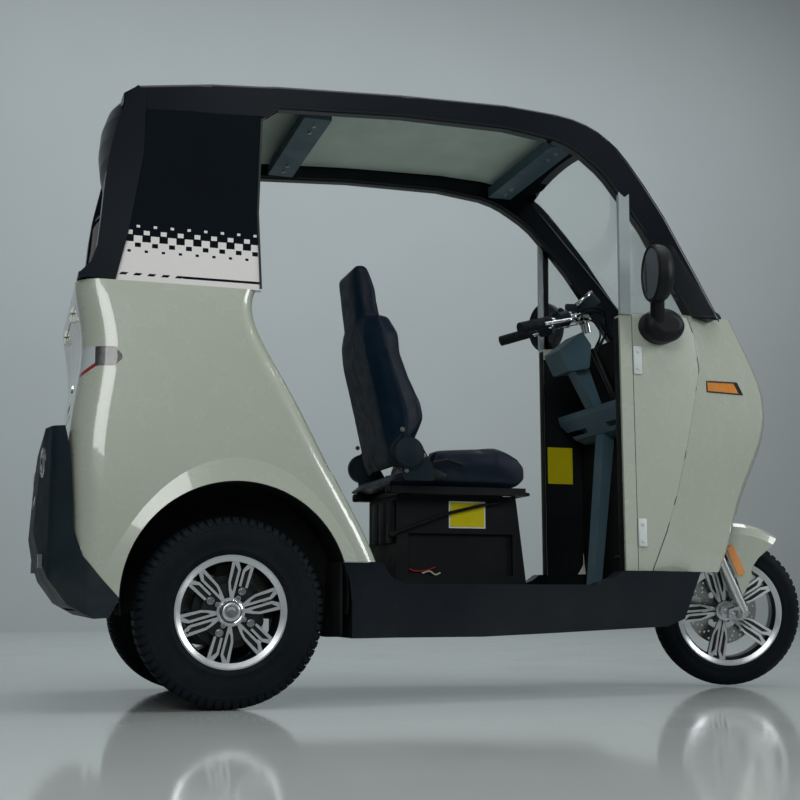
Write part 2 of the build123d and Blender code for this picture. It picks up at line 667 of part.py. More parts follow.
def roof_section(x, edge, middle):
    upper = ThreePointArc((-ROOF_HALF, edge), (0, middle), (ROOF_HALF, edge))
    low_edge, low_middle = edge - ROOF_THICKNESS, middle - ROOF_THICKNESS
    lower = ThreePointArc((ROOF_HALF, low_edge), (0, low_middle), (-ROOF_HALF, low_edge))
    ends = [Line((ROOF_HALF, edge), (ROOF_HALF, low_edge)), Line((-ROOF_HALF, low_edge), (-ROOF_HALF, edge))]
    plane = Plane(origin=(x, 0, 0), x_dir=(0, 1, 0), z_dir=(1, 0, 0))
    return plane * make_face([upper, ends[0], lower, ends[1]])


def roof_panel(rails):
    """Crowned roof skin between the rails, with its front edge over the windscreen."""
    skin = loft([roof_section(*row) for row in ROOF_ROWS], ruled=True)
    for rail in rails:
        skin -= rail
    return max(skin.solids(), key=lambda piece: piece.volume)


def roof_straps():
    """Cross members under the roof skin."""
    pieces = []
    for x, drop in ((250, 40), (1010, 44)):
        pieces.append(block((x - 40, x + 40), (-258, 258), (1640 - drop / 2, 1652)))
    return Compound(children=pieces)


def quarter_panel():
    """Black panel between the rear pillar and the cabin opening, on the right."""
    outline = [(-316, 1080), (74, 1080), (66, 1300), (78, 1590), (-236, 1566), (-256, 1360)]
    low, high = 372.0, 318.0
    panel = side_plate(outline, -420, -280)
    outer_face = [(-low, 1080), (-high, 1650), (-high + 26, 1650), (-low + 26, 1080)]
    return panel & front_plate(outer_face, -400, 200)


def rear_pillar():
    """Bulged pillar beside the rear window, on the right."""
    outline = [
        (-420, 1081), (-394, 1096), (-370, 1124), (-355, 1170), (-347, 1258), (-340, 1355), (-331, 1428), (-310, 1530), (-286, 1606),
        (-262, 1632), (-240, 1612), (-240, 1570), (-243, 1439), (-255, 1361), (-279, 1206), (-307, 1081),
    ]
    pillar = side_plate(outline, -420, -200)
    shape = [(-380, 1080), (-324, 1640), (-262, 1640), (-300, 1080)]
    return pillar & front_plate(shape, -400, 0)


# Plan of the curved rear pieces: distance from the middle, how far ahead of the middle, and the drop
WINDOW_PLAN = [(-300, 36, 0), (-240, 20, 0), (-130, 5, 0), (0, 0, 0), (130, 5, 0), (240, 20, 0), (300, 36, 0)]
VISOR_PLAN = [(-262, 44, 36), (-190, 22, 17), (-100, 6, 4), (0, 0, 0), (100, 6, 4), (190, 22, 17), (262, 44, 36)]


def across(outline, plan):
    """A solid across the car whose side view moves ahead and down towards its ends."""
    sections = []
    for y, ahead, drop in plan:
        points = [(x + ahead, y, z - drop) for x, z in outline]
        sections.append(make_face(Polyline(*points, close=True)))
    return loft(sections)


def rear_window():
    outline = [(-398, 1082), (-362, 1150), (-336, 1240), (-318, 1366), (-310, 1470), (-304, 1470), (-312, 1366),
               (-330, 1240), (-356, 1150), (-391, 1082)]
    glass = across(outline, WINDOW_PLAN)
    shape = [(-296, 1080), (296, 1080), (252, 1471), (-252, 1471)]
    return glass & front_plate(shape, -500, 0)


def rear_visor():
    """Panel over the rear window that meets the roof."""
    outline = [(-318, 1472), (-331, 1500), (-337, 1548), (-333, 1600), (-320, 1640), (-298, 1664), (-262, 1676),
               (-262, 1650), (-290, 1632), (-306, 1560), (-304, 1500), (-300, 1472)]
    return across(outline, VISOR_PLAN)


SCREEN_BASE = (1548.0, 1126.0)
SCREEN_TOP = (1104.0, 1652.0)
SCREEN_BULGE = 46.0


def windscreen():
    """Curved glass between the pillars, wider at the top."""
    run = Vector(SCREEN_TOP[0] - SCREEN_BASE[0], 0, SCREEN_TOP[1] - SCREEN_BASE[1])
    faces = []
    for (x, z), half in ((SCREEN_BASE, 222.0), (SCREEN_TOP, 268.0)):
        plane = Plane(origin=(x, 0, z), x_dir=(0, 1, 0), z_dir=run)
        outer = ThreePointArc((-half, 0), (0, -SCREEN_BULGE), (half, 0))
        inner = ThreePointArc((-half, GLASS), (0, GLASS - SCREEN_BULGE), (half, GLASS))
        ends = [Line((half, 0), (half, GLASS)), Line((-half, GLASS), (-half, 0))]
        faces.append(plane * make_face([outer, inner] + ends))
    return loft(faces, ruled=True)


# Front body

# Height, then x and half width at the panel joint, x and half width at the shoulder, x at the nose
FRONT_SECTIONS = [
    (FRONT_BOTTOM_Z, 1252, 290, 1527, 190, 1600),
    (468, 1303, 290, 1575, 185, 1652),
    (570, 1338, 290, 1613, 175, 1690),
    (684, 1370, 290, 1670, 165, 1745),
    (815, 1402, 288, 1729, 152, 1795),
    (957, 1432, 284, 1716, 150, 1783),
    (1060, 1420, 281, 1668, 150, 1735),
    (1180, 1396, 280, 1606, 150, 1672),
]
JOINT_LINE = [(row[1], row[0]) for row in FRONT_SECTIONS]


def front_section(row, inset):
    height, x_joint, y_joint, x_shoulder, y_shoulder, x_nose = row
    back = DOOR_POST_X - (60 if inset else 0)
    wide, joint, shoulder = FRONT_HALF - inset, y_joint - inset, y_shoulder - inset * 0.8
    points = [(back, wide), (x_joint - inset * 0.3, joint), (x_shoulder - inset * 0.7, shoulder)]
    nose = (x_nose - inset, 0)
    other = [(x, -y) for x, y in reversed(points)]
    edges = [Line(points[0], points[1]), Line(points[1], points[2]), ThreePointArc(points[2], nose, other[0]),
             Line(other[0], other[1]), Line(other[1], other[2]), Line(other[2], points[0])]
    return Plane.XY.offset(height) * make_face(edges)


def front_shell():
    """Hollow front body, open below, behind and round the front wheel."""
    outer = loft([front_section(row, 0) for row in FRONT_SECTIONS])
    inner = loft([front_section(row, FRONT_WALL) for row in FRONT_SECTIONS])
    cap = [(1000, 300), (1900, 300), (1900, 1190), (1700, 1168), (1560, 1140), (1500, 1127), (1280, 1117),
           (1164, 1104), (1000, 1090)]
    core = [(1000, 200), (1900, 200), (1900, 1136), (1560, 1112), (1280, 1090), (1000, 1076)]
    shell = outer & side_plate(cap, -400, 400)
    shell -= inner & side_plate(core, -400, 400)
    mouth = [(-NOSE_OPENING_HALF, 300), (NOSE_OPENING_HALF, 300), (NOSE_OPENING_HALF, NOSE_OPENING_TOP - 60),
             (NOSE_OPENING_HALF - 60, NOSE_OPENING_TOP), (60 - NOSE_OPENING_HALF, NOSE_OPENING_TOP),
             (-NOSE_OPENING_HALF, NOSE_OPENING_TOP - 60)]
    shell -= front_plate(mouth, 1400, 1900)
    return shell - block((1000, 1412), (FRONT_WALL - FRONT_HALF + 8, FRONT_HALF - FRONT_WALL - 8), (1060, 1200))


def front_panels():
    shell = front_shell()
    rear_part = [(1000, 300), (1252 - 22, 300)] + JOINT_LINE + [(1000, 1180)]
    behind = side_plate(rear_part, -400, 400)
    sides = shell & behind
    nose = shell - side_plate([(x + SEAM, z) for x, z in rear_part], -400, 400)
    return sides, nose


def leg_shield():
    """Panel before the driver's legs, with a lining on each side wall and a shelf up to the windscreen."""
    solid = block((1296, 1312), (-254, 254), (FLOOR_Z + 1, 1096))
    solid += side_plate([(1296, 1080), (1411, 1090), (1411, 1104), (1296, 1096)], -262, 262)
    solid += block((1168, 1312), (-268, -258), (FLOOR_Z + 1, 1070))
    solid += block((1168, 1312), (258, 268), (FLOOR_Z + 1, 1070))
    solid += block((1296, 1312), (-262, 262), (FLOOR_Z + 1, 1070))
    solid -= rod(steer_point(560, 0, 0), steer_point(1000, 0, 0), 34)
    return solid


STEERER_HOLE = 17.6


def dash_tray():
    """Grey tray before the driver, on a leg."""
    profile = [(1200, 868), (1204, 850), (1236, 788), (1262, 772), (1295, 772), (1295, 868)]
    tray = side_plate(profile, -232, 232)
    tray &= front_plate([(-232, 880), (232, 880), (232, 838), (150, 765), (-150, 765), (-232, 838)], 1100, 1300)
    for y in ((-220, -70), (70, 220)):
        tray -= block((1222, 1284), y, (800, 900))
    leg = side_plate([(1192, FLOOR_Z + 1), (1216, FLOOR_Z + 1), (1276, 790), (1238, 790)], -28, 28, 3)
    solid = tray + leg
    return solid - rod(steer_point(460, 0, 0), steer_point(1000, 0, 0), STEERER_HOLE)


def column_shroud():
    """Box under the handlebar and the grey strut that carries it on the tray."""
    solid = side_plate([(1140, 985), (1192, 990), (1236, 869), (1204, 869)], -28, 28, 4)
    solid += side_plate([(1075, 1037), (1107, 972), (1180, 986), (1188, 1060), (1158, 1103)], -56, 56, 9)
    return solid


def side_glass():
    """Quarter glass with its upright post, before the right door opening."""
    post = side_plate([(1164, 1106), (1197, 1106), (1203, 1500), (1168, 1500)], -304, -290)
    pane = side_plate([(1181, 1112), (1496, 1122), (1300, 1406), (1188, 1540), (1181, 1540)], -292, -288)
    return post, pane


# Seats

BOX_HALF = 140.0


def seat_box():
    outline = [(520, FLOOR_Z + 1), (920, FLOOR_Z + 1), (888, 569), (520, 569)]
    solid = side_plate(outline, -BOX_HALF, BOX_HALF, 10)
    recess = block((555, 877), (-BOX_HALF - 10, -BOX_HALF + 12), (337, 458))
    return solid - recess - mirrored(recess)


def seat_slides():
    """Slide rails, their crossbars, the lever and the recliner discs."""
    solid = None
    for y in (-176.0, 176.0):
        rail = block((490, 900), (y - 14, y + 14), (568, 590))
        solid = rail if solid is None else solid + rail
    solid += block((530, 560), (-176, 176), (570, 584)) + block((820, 850), (-176, 176), (570, 584))
    solid += tube_along([(846, -150, 577), (930, -150, 577), (930, 60, 577)], 5, 16)
    return solid


def seat_recliner():
    """Side brackets that carry the seat back."""
    pieces = []
    for side in (-1, 1):
        outline = [(512, 600), (606, 600), (596, 650), (562, 706), (520, 734), (506, 690)]
        low, high = sorted((side * 226, side * 234))
        plate = side_plate(outline, low, high, 10)
        plate += rod((524, side * 226, 677), (524, side * 246, 677), 45)
        pieces += list(plate.solids())
    return Compound(children=pieces)


def seat_cushion():
    outline = [(462, 592), (880, 592), (902, 612), (900, 650), (880, 682), (812, 706), (606, 690), (596, 640), (462, 612)]
    return side_plate(outline, -224, 224, 10)


# Driver's seat back: height, x and half width at the rear face, x at the front and largest half width
BACK_ROWS = [
    (630, 510, 134, 536, 196), (704, 494, 138, 556, 224), (738, 487, 140, 579, 224), (782, 477, 140, 590, 224),
    (829, 467, 140, 580, 224), (905, 449, 140, 544, 224), (973, 432, 140, 521, 222), (1034, 423, 138, 519, 212),
    (1097, 415, 132, 497, 186), (1132, 411, 124, 474, 128), (1266, 394, 110, 443, 120),
]


def back_section(height, x_rear, half_rear, x_front, half_front):
    x_side = x_rear + (x_front - x_rear) * 0.45
    half = [(x_rear, half_rear), (x_side, half_front), (x_front, half_front - 26)]
    outline = half + [(x, -y) for x, y in reversed(half)]
    return Plane.XY.offset(height) * outline_face(outline, 0)


def seat_back():
    """High back with a built-in headrest, narrow at its rear face."""
    return loft([back_section(*row) for row in BACK_ROWS], ruled=True)


def bench_cushion():
    return side_plate([(-236, 592), (184, 592), (196, 640), (180, 690), (-236, 676)], -330, 330, 14)


def bench_back():
    return side_plate([(-250, 694), (-160, 698), (-216, 1040), (-250, 1060), (-330, 1060), (-330, 1000)], -330, 330, 14)


# Lamps, mirrors and trim

def tail_lamp(outer):
    """Lamp that wraps the right rear corner, round at its front end."""
    side_view = [(-430, 806), (-398, 815), (-348, 848), (-306, 848), (-281, 873), (-306, 899), (-430, 899)]
    band = side_plate(side_view, -440, -262, 12)
    shell = (band & outer) - block((-352, -200), (-378, -200), (780, 950))
    return max(shell.solids(), key=lambda piece: piece.volume)


def rounded_plate(plane, width, height, thickness, edge):
    """An oval plate with a rolled front edge."""
    plate = extrude(plane * Ellipse(width / 2, height / 2), amount=thickness)
    rim_edges = plate.edges().sort_by(lambda item: (item.center() - plane.origin).dot(plane.z_dir))
    return fillet(rim_edges[-1], edge)


# How far each mirror's glass is turned towards the driver, and its distance from the middle
MIRROR_RIGHT = (4.0, 391.0)
MIRROR_LEFT = (28.0, 386.7)


def mirror(turn, head_y):
    """Right mirror: base on the front body, stem and head."""
    base_plane = Plane(origin=(1293, -FRONT_HALF + 4, 1074), x_dir=(1, 0, 0), z_dir=(0, -1, 0))
    base = rounded_plate(base_plane, 134, 104, 60, 30)
    stem = rod((1268, -336, 1084), (1246, -380, 1160), 21)
    lean, reach = math.sin(math.radians(turn)), math.cos(math.radians(turn))
    head_plane = Plane(origin=(1222, -head_y, 1212), x_dir=(lean, reach, 0), z_dir=(reach, -lean, 0))
    head = rounded_plate(head_plane, 132, 172, 54, 34)
    return base + stem + head


def rear_reflectors():
    """Oval reflector and small lower lamp on the right of the bumper."""
    oval_plane = Plane(origin=(-440, -322, 609), x_dir=(0, 1, 0), z_dir=(-1, 0, 0))
    oval = extrude(oval_plane * Ellipse(15, 33), amount=27)
    lower = block((-468, -440), (-350, -322), (346, 380))
    return list(oval.solids()) + list(lower.solids())


def side_marker(nose):
    """Amber lamp on the right of the nose."""
    band = side_plate([(1464, 926), (1466, 891), (1640, 902), (1613, 939)], -400, -100)
    return band


LAMP_PROUD = 5.0


def headlamp():
    """Lamp and dark grille in the middle of the nose."""
    proud = loft([front_section(row, -LAMP_PROUD) for row in FRONT_SECTIONS])
    return proud & rod((1700, 0, 700), (1830, 0, 712), 60)


def save(name, solid):
    """Write one piece, moved to the vehicle's own origin."""
    if isinstance(solid, (list, ShapeList)):
        solid = Compound(children=list(solid))
    export_step(solid.moved(Location((-ORIGIN_X, 0, 0))), f"parts/{name}.step")


# Piece that gives way, and the pieces that it is cut back from
CUTS = [
    ("rear_bumper", ["rear_reflectors"]),
    ("rear_body_right", ["tail_lamps", "rear_bumper"]),
    ("rear_body_left", ["tail_lamps", "rear_bumper"]),
    ("rear_pillars", ["roof_rails", "roof_panel", "rear_body_right", "rear_body_left"]),
    ("quarter_panels", ["rear_pillars", "roof_rails"]),
    ("rear_visor", ["rear_pillars", "roof_rails", "roof_panel"]),
    ("rear_window", ["rear_pillars", "rear_visor"]),
    ("roof_panel", ["windscreen"]),
    ("roof_straps", ["roof_rails", "roof_panel"]),
    ("front_side_panels", ["windscreen"]),
    ("nose_panel", ["windscreen", "side_markers", "headlamp"]),
    ("roof_rails", ["front_side_panels", "nose_panel", "windscreen"]),
    ("side_glass", ["front_side_panels", "nose_panel", "roof_rails", "side_posts"]),
    ("side_posts", ["roof_rails", "front_side_panels"]),
    ("leg_shield", ["front_side_panels", "nose_panel", "floor_pan", "chassis_frame", "front_frame"]),
    ("dash_tray", ["leg_shield", "chassis_frame", "front_frame"]),
    ("column_shroud", ["leg_shield", "dash_tray", "front_frame"]),
    ("floor_pan", ["chassis_frame", "rear_subframe", "front_frame"]),
    ("mirrors", ["front_side_panels"]),
    ("rear_subframe", ["rear_axle"]),
    ("front_fender", ["fork"]),
    ("switch_pods", ["handlebar"]),
    ("grips", ["handlebar"]),
    ("seat_back", ["seat_cushion", "seat_recliner"]),
]


def solids_of(shape):
    if isinstance(shape, (list, ShapeList)):
        return [solid for item in shape for solid in item.solids()]
    return list(shape.solids())


def apply_cuts(pieces):
    """Cut each piece back from its neighbours, so that they meet and don't overlap."""
    for name, cutters in CUTS:
        kept = []
        for solid in solids_of(pieces[name]):
            for cutter in cutters:
                for other in solids_of(pieces[cutter]):
                    if overlaps(solid, other):
                        solid = solid - other
            parts = solids_of(solid)
            biggest = max(part.volume for part in parts)
            kept += [part for part in parts if part.volume > biggest * SCRAP_SHARE]
        pieces[name] = kept


def overlaps(first, second):
    """Whether two bounding boxes meet."""
    a, b = first.bounding_box(), second.bounding_box()
    return all(getattr(a.min, k) <= getattr(b.max, k) and getattr(b.min, k) <= getattr(a.max, k) for k in "XYZ")


def rear_group(pieces):
    outer = rear_outer()
    right, left, tail, bench, lid = rear_panels()
    lamp = tail_lamp(outer)
    pieces["rear_body_right"] = right
    pieces["rear_body_left"] = left
    pieces["tail_panel"] = tail
    pieces["bench_base"] = bench
    pieces["trunk_lid"] = lid
    pieces["tail_lamps"] = both_sides(lamp)
    pieces["rear_bumper"] = rear_bumper(outer)
    reflectors = rear_reflectors()
    pieces["rear_reflectors"] = reflectors + [mirrored(item) for item in reflectors]


def frame_group(pieces):
    pieces["floor_pan"] = floor_pan()
    pieces["chassis_frame"] = chassis()
    pieces["rear_subframe"] = rear_subframe()
    pieces["front_frame"] = front_frame(pieces["chassis_frame"])
    pieces["rear_axle"] = rear_axle()
    pieces["rear_springs"] = rear_springs()
    pieces["battery_pack"] = battery()


def top_group(pieces):
    rail = roof_rail()
    pieces["roof_rails"] = both_sides(rail)
    pieces["roof_panel"] = roof_panel([rail, mirrored(rail)])
    pieces["roof_straps"] = roof_straps()
    pieces["quarter_panels"] = both_sides(quarter_panel())
    pieces["rear_pillars"] = both_sides(rear_pillar())
    pieces["rear_window"] = rear_window()
    pieces["rear_visor"] = rear_visor()
    pieces["windscreen"] = windscreen()
    post, pane = side_glass()
    pieces["side_posts"] = both_sides(post)
    pieces["side_glass"] = both_sides(pane)


def front_group(pieces):
    sides, nose = front_panels()
    pieces["front_side_panels"] = sides
    pieces["nose_panel"] = nose
    marker = side_marker(nose) & nose
    pieces["side_markers"] = both_sides(marker)
    pieces["headlamp"] = headlamp()
    pieces["leg_shield"] = leg_shield()
    pieces["dash_tray"] = dash_tray()
    pieces["column_shroud"] = column_shroud()
    pieces["mirrors"] = [mirror(*MIRROR_RIGHT), mirrored(mirror(*MIRROR_LEFT))]


def seat_group(pieces):
    pieces["seat_box"] = seat_box()
    pieces["seat_slides"] = seat_slides()
    pieces["seat_recliner"] = seat_recliner()
    pieces["seat_cushion"] = seat_cushion()
    pieces["seat_back"] = seat_back()
    pieces["bench_cushion"] = bench_cushion()
    pieces["bench_back"] = bench_back()


def steered_group(pieces):
    rubber = tyre(FRONT_TYRE_RADIUS, FRONT_TYRE_WIDTH, FRONT_RIM_RADIUS, 0)
    metal = front_rim()
    straight = {
        "fork": fork(), "front_fender": fender(), "fork_reflectors": fork_reflectors(), "handlebar": handlebar(),
        "grips": grips(), "switch_pods": switch_pods(), "front_tyre": Pos(*FRONT_AXLE) * (rubber - metal),
        "front_rim": Pos(*FRONT_AXLE) * metal, "brake_disc": Pos(*FRONT_AXLE) * brake_disc(),
    }
    for name, solid in straight.items():
        pieces[name] = steered(solid)


def wheel_group(pieces):
    for side, name in ((-1, "right"), (1, "left")):
        rubber, metal = rear_wheel(side)
        pieces[f"rear_tyre_{name}"] = rubber
        pieces[f"rear_rim_{name}"] = metal


def main():
    os.makedirs("parts", exist_ok=True)
    pieces = {}
    for group in (rear_group, frame_group, top_group, front_group, seat_group, steered_group, wheel_group):
        group(pieces)
    apply_cuts(pieces)
    for name, solid in pieces.items():
        save(name, solid)


if __name__ == "__main__":
    main()
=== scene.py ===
"""Finishes and fine pieces of a three wheeled car with an open cabin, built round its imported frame."""

import json
import math

import bmesh
import bpy
from bpy.props import (BoolProperty, FloatProperty, FloatVectorProperty, IntProperty, PointerProperty)
from mathutils import Matrix, Vector
from mathutils.bvhtree import BVHTree


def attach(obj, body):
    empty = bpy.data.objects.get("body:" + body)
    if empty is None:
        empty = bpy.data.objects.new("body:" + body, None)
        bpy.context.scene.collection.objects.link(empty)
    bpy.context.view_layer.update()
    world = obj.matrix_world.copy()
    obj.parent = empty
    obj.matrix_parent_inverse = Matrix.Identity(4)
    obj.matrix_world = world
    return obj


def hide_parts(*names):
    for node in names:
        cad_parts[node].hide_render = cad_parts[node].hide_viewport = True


bl_info = {
    "name": "Three Wheeled Car",
    "version": (1, 0, 0),
    "blender": (4, 5, 0),
    "location": "View3D > Sidebar > Car",
    "description": "Finishes, tyres, seats and trim of a three wheeled car with an open cabin",
    "category": "Object",
}

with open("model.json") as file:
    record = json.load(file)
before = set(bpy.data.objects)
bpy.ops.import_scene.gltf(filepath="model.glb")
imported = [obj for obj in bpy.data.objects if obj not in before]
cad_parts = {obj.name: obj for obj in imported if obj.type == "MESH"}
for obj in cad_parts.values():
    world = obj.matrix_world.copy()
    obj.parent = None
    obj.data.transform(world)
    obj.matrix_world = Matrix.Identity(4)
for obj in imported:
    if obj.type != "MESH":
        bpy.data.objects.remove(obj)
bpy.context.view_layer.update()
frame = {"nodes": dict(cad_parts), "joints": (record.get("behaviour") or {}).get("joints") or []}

# One millimetre, because the car's own measures are in millimetres from the point under the rear axle
MM = 0.001
JOINTS = {joint["name"]: joint for joint in frame["joints"]}
REAR_HUB = {side: Vector(JOINTS[f"rear_wheel_{side}_spin"]["pos_m"]) for side in ("right", "left")}
SIDES = {"right": -1, "left": 1}
# The front wheel stands turned this far about the steering axis
TURN_AT_REST = math.radians(-16.6)


def car(x, y, z):
    """A point from millimetres ahead of the rear axle, to the left and above the floor."""
    return Vector((REAR_HUB["right"].x + x * MM, y * MM, z * MM))


def steered_space():
    """Turns a point of the steered group from straight ahead to where it stands."""
    joint = JOINTS["steering"]
    pivot = Vector(joint["pos_m"])
    turn = Matrix.Rotation(TURN_AT_REST, 4, Vector(joint["axis"]).normalized())
    return Matrix.Translation(pivot) @ turn @ Matrix.Translation(-pivot)


STEERED = steered_space()
FRONT_HUB = Vector(JOINTS["front_wheel_spin"]["pos_m"])
FRONT_WHEEL = STEERED @ Matrix.Translation(STEERED.inverted() @ FRONT_HUB)
CLAMP_HEIGHT = 1130 * MM


def bar(x, y, z):
    """A point of the handlebar, in millimetres from its clamp before the group is turned."""
    joint = JOINTS["steering"]
    pivot, axis = Vector(joint["pos_m"]), Vector(joint["axis"])
    clamp = pivot + axis * ((CLAMP_HEIGHT - pivot.z) / axis.z)
    return STEERED @ (clamp + Vector((x, y, z)) * MM)


def axle(x, y, z):
    """A point in millimetres from the front axle, before the group is turned."""
    return FRONT_WHEEL @ (Vector((x, y, z)) * MM)


def rear_wheel_space(side):
    """The hub of a rear wheel, seen so that Y points out of the car."""
    return Matrix.Translation(REAR_HUB[side]) @ Matrix.Diagonal((1, SIDES[side], 1, 1))


def shade(red, green, blue):
    """A colour written as it looks on a screen, from 0 to 255, in the linear values of a shader."""
    def one(value):
        value /= 255
        return value / 12.92 if value <= 0.04045 else ((value + 0.055) / 1.055) ** 2.4
    return one(red), one(green), one(blue)


def colour(name, description, red, green, blue):
    """A colour of a property group, from screen values of 0 to 255."""
    return FloatVectorProperty(name=name, description=description, subtype="COLOR", size=3, min=0, max=1,
                               default=shade(red, green, blue))


def length(name, description, millimetres):
    """A length of a property group, from millimetres."""
    return FloatProperty(name=name, description=description, default=millimetres * MM, min=0, unit="LENGTH",
                         precision=4)


class CarColours(bpy.types.PropertyGroup):
    """Colours of the car's finishes."""
    cream: colour("Body", "Cream paint of the body", 156, 163, 150)
    black: colour("Roof", "Gloss black of roof, quarter panels and sills", 2, 9, 17)
    plastic: colour("Bumper", "Dark grained plastic", 10, 27, 34)
    grey: colour("Column", "Grey plastic of the column and tray", 62, 86, 96)
    seat: colour("Seat", "Seat cover", 1, 15, 30)
    seat_shell: colour("Seat shell", "Back of the driver's seat", 6, 28, 44)
    rubber: colour("Tyres", "Tyre rubber", 4, 13, 20)
    silver: colour("Alloy", "Machined faces of the rims", 196, 200, 202)
    lining: colour("Lining", "Roof lining", 190, 204, 193)
    amber: colour("Amber", "Turn signals and reflectors", 240, 150, 48)
    red: colour("Red", "Tail lamp lens", 150, 22, 20)
    label: colour("Label", "Blank labels", 178, 168, 10)
    print_white: colour("Print", "White print of the quarter panels", 206, 204, 202)


class StageSizes(bpy.types.PropertyGroup):
    """Floor, backdrop, lamps and camera."""
    floor: colour("Floor", "Pale floor", 180, 188, 186)
    wall: colour("Backdrop", "Pale backdrop", 160, 168, 170)
    half: length("Half size", "Half the side of the floor", 9000)
    wall_y: length("Backdrop distance", "How far the backdrop stands behind the car", 7600)
    lens: FloatProperty(name="Lens", description="Focal length of the camera in millimetres", default=57.08)
    azimuth: FloatProperty(name="Azimuth", description="Camera direction, turned from square to the side",
                           default=math.radians(17.43), subtype="ANGLE", unit="ROTATION")
    elevation: FloatProperty(name="Elevation", description="How far the camera looks up",
                             default=math.radians(8.92), subtype="ANGLE", unit="ROTATION")


class TyreSizes(bpy.types.PropertyGroup):
    """Tyres and their tread."""
    rear_blocks: IntProperty(name="Rear blocks", description="Tread blocks round a rear tyre", default=66,
                             min=8)
    front_blocks: IntProperty(name="Front blocks", description="Tread blocks round the front tyre",
                              default=60, min=8)
    segments: IntProperty(name="Segments", description="Steps round a tyre", default=132, min=24)


class SeatSizes(bpy.types.PropertyGroup):
    """Seats, their seams and how they are filled."""
    voxel: length("Voxel", "Grid of the padding before it is filled", 7)
    swell: length("Swell", "Furthest that the padding may push out", 9)
    pressure: FloatProperty(name="Pressure", description="Pressure of the filling", default=4.0, min=0)
    piping: length("Piping", "Radius of the piping", 2.6)
    simulate: BoolProperty(name="Simulate", description="Fill the padding by cloth simulation", default=True)


class PrintSizes(bpy.types.PropertyGroup):
    """Print on the quarter panels."""
    cell: length("Cell", "Side of a square in the checker fade", 22)
    foot: length("Foot", "Height of the print's lower edge above the floor", 1082)
    strip: length("Strip", "Height of the plain white strip", 72)
    rows: IntProperty(name="Rows", description="Rows of squares over the strip", default=5, min=2)


class TrimSizes(bpy.types.PropertyGroup):
    """Labels, hinge covers, screws, cables and other trim."""
    screw: length("Screw", "Radius of a panel screw head", 4.2)
    cable: length("Cable", "Radius of a control cable", 3.2)


# Meshes

def link(name, mesh):
    obj = bpy.data.objects.new(name, mesh)
    bpy.context.scene.collection.objects.link(obj)
    return obj


def mesh_of(name, bm, smooth=35.0):
    """A mesh with smooth faces and with sharp edges over an angle."""
    bmesh.ops.recalc_face_normals(bm, faces=bm.faces)
    mesh = bpy.data.meshes.new(name)
    bm.to_mesh(mesh)
    bm.free()
    mesh.shade_smooth()
    mesh.set_sharp_from_angle(angle=math.radians(smooth))
    return mesh


def dress(obj, material, body, replaces=()):
    """Material and body of a finished piece, and hides the frame's nodes that it replaces."""
    if material is not None:
        obj.data.materials.clear()
        obj.data.materials.append(material)
    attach(obj, body)
    if replaces:
        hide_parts(*replaces)
    return obj


def piece(name, bm, material, body, replaces=(), smooth=35.0):
    return dress(link(name, mesh_of(name, bm, smooth)), material, body, replaces)


def baked(obj, name):
    """The evaluated mesh of an object as a plain one; the object itself is removed."""
    graph = bpy.context.evaluated_depsgraph_get()
    mesh = bpy.data.meshes.new_from_object(obj.evaluated_get(graph))
    mesh.name = name
    bpy.data.objects.remove(obj)
    return mesh


def joined(*parts):
    """One bmesh from several, which are freed."""
    whole = bmesh.new()
    for part in parts:
        mesh = bpy.data.meshes.new("part")
        part.to_mesh(mesh)
        part.free()
        whole.from_mesh(mesh)
        bpy.data.meshes.remove(mesh)
    return whole


def moved(bm, matrix):
    bmesh.ops.transform(bm, matrix=matrix, verts=bm.verts)
    return bm


def mirrored(bm):
    """The same shape on the other side of the car."""
    copy = bm.copy()
    bmesh.ops.transform(copy, matrix=Matrix.Diagonal((1, -1, 1, 1)), verts=copy.verts)
    bmesh.ops.reverse_faces(copy, faces=copy.faces)
    return copy


def bevelled(bm, width, segments=2, angle=30.0):
    """Round the edges that are sharper than an angle."""
    sharp = [e for e in bm.edges if e.is_manifold and e.calc_face_angle(0) > math.radians(angle)]
    bmesh.ops.bevel(bm, geom=sharp, offset=width, segments=segments, profile=0.5, affect="EDGES",
                    clamp_overlap=True)
    return bm


def prism(lower, upper, bevel=0.0, segments=2):
    """A solid between two outlines that have the same number of points."""
    bm = bmesh.new()
    low = [bm.verts.new(point) for point in lower]
    high = [bm.verts.new(point) for point in upper]
    count = len(low)
    for i in range(count):
        bm.faces.new((low[i], low[(i + 1) % count], high[(i + 1) % count], high[i]))
    bm.faces.new(low[::-1])
    bm.faces.new(high)
    bmesh.ops.recalc_face_normals(bm, faces=bm.faces)
    return bevelled(bm, bevel, segments) if bevel else bm


def side_plate(outline, y_low, y_high, bevel=0.0, segments=2):
    """A solid between two values of Y, from an outline of (x, z) in the car's millimetres."""
    return prism([car(x, y_low, z) for x, z in outline], [car(x, y_high, z) for x, z in outline], bevel * MM,
                 segments)


def block(x, y, z, bevel=0.0, segments=2):
    return side_plate([(x[0], z[0]), (x[1], z[0]), (x[1], z[1]), (x[0], z[1])], y[0], y[1], bevel, segments)


def lathe(profile, steps, closed=True):
    """A ring turned about Y from a profile of (radius, y) in metres."""
    bm = bmesh.new()
    rings = []
    for step in range(steps):
        angle = 2 * math.pi * step / steps
        rings.append([bm.verts.new((r * math.sin(angle), y, r * math.cos(angle))) for r, y in profile])
    count = len(profile)
    for step in range(steps):
        near, far = rings[step], rings[(step + 1) % steps]
        for i in range(count if closed else count - 1):
            j = (i + 1) % count
            bm.faces.new((near[i], near[j], far[j], far[i]))
    if not closed:
        for end in (0, -1):
            bm.faces.new([ring[end] for ring in rings])
    bmesh.ops.recalc_face_normals(bm, faces=bm.faces)
    return bm


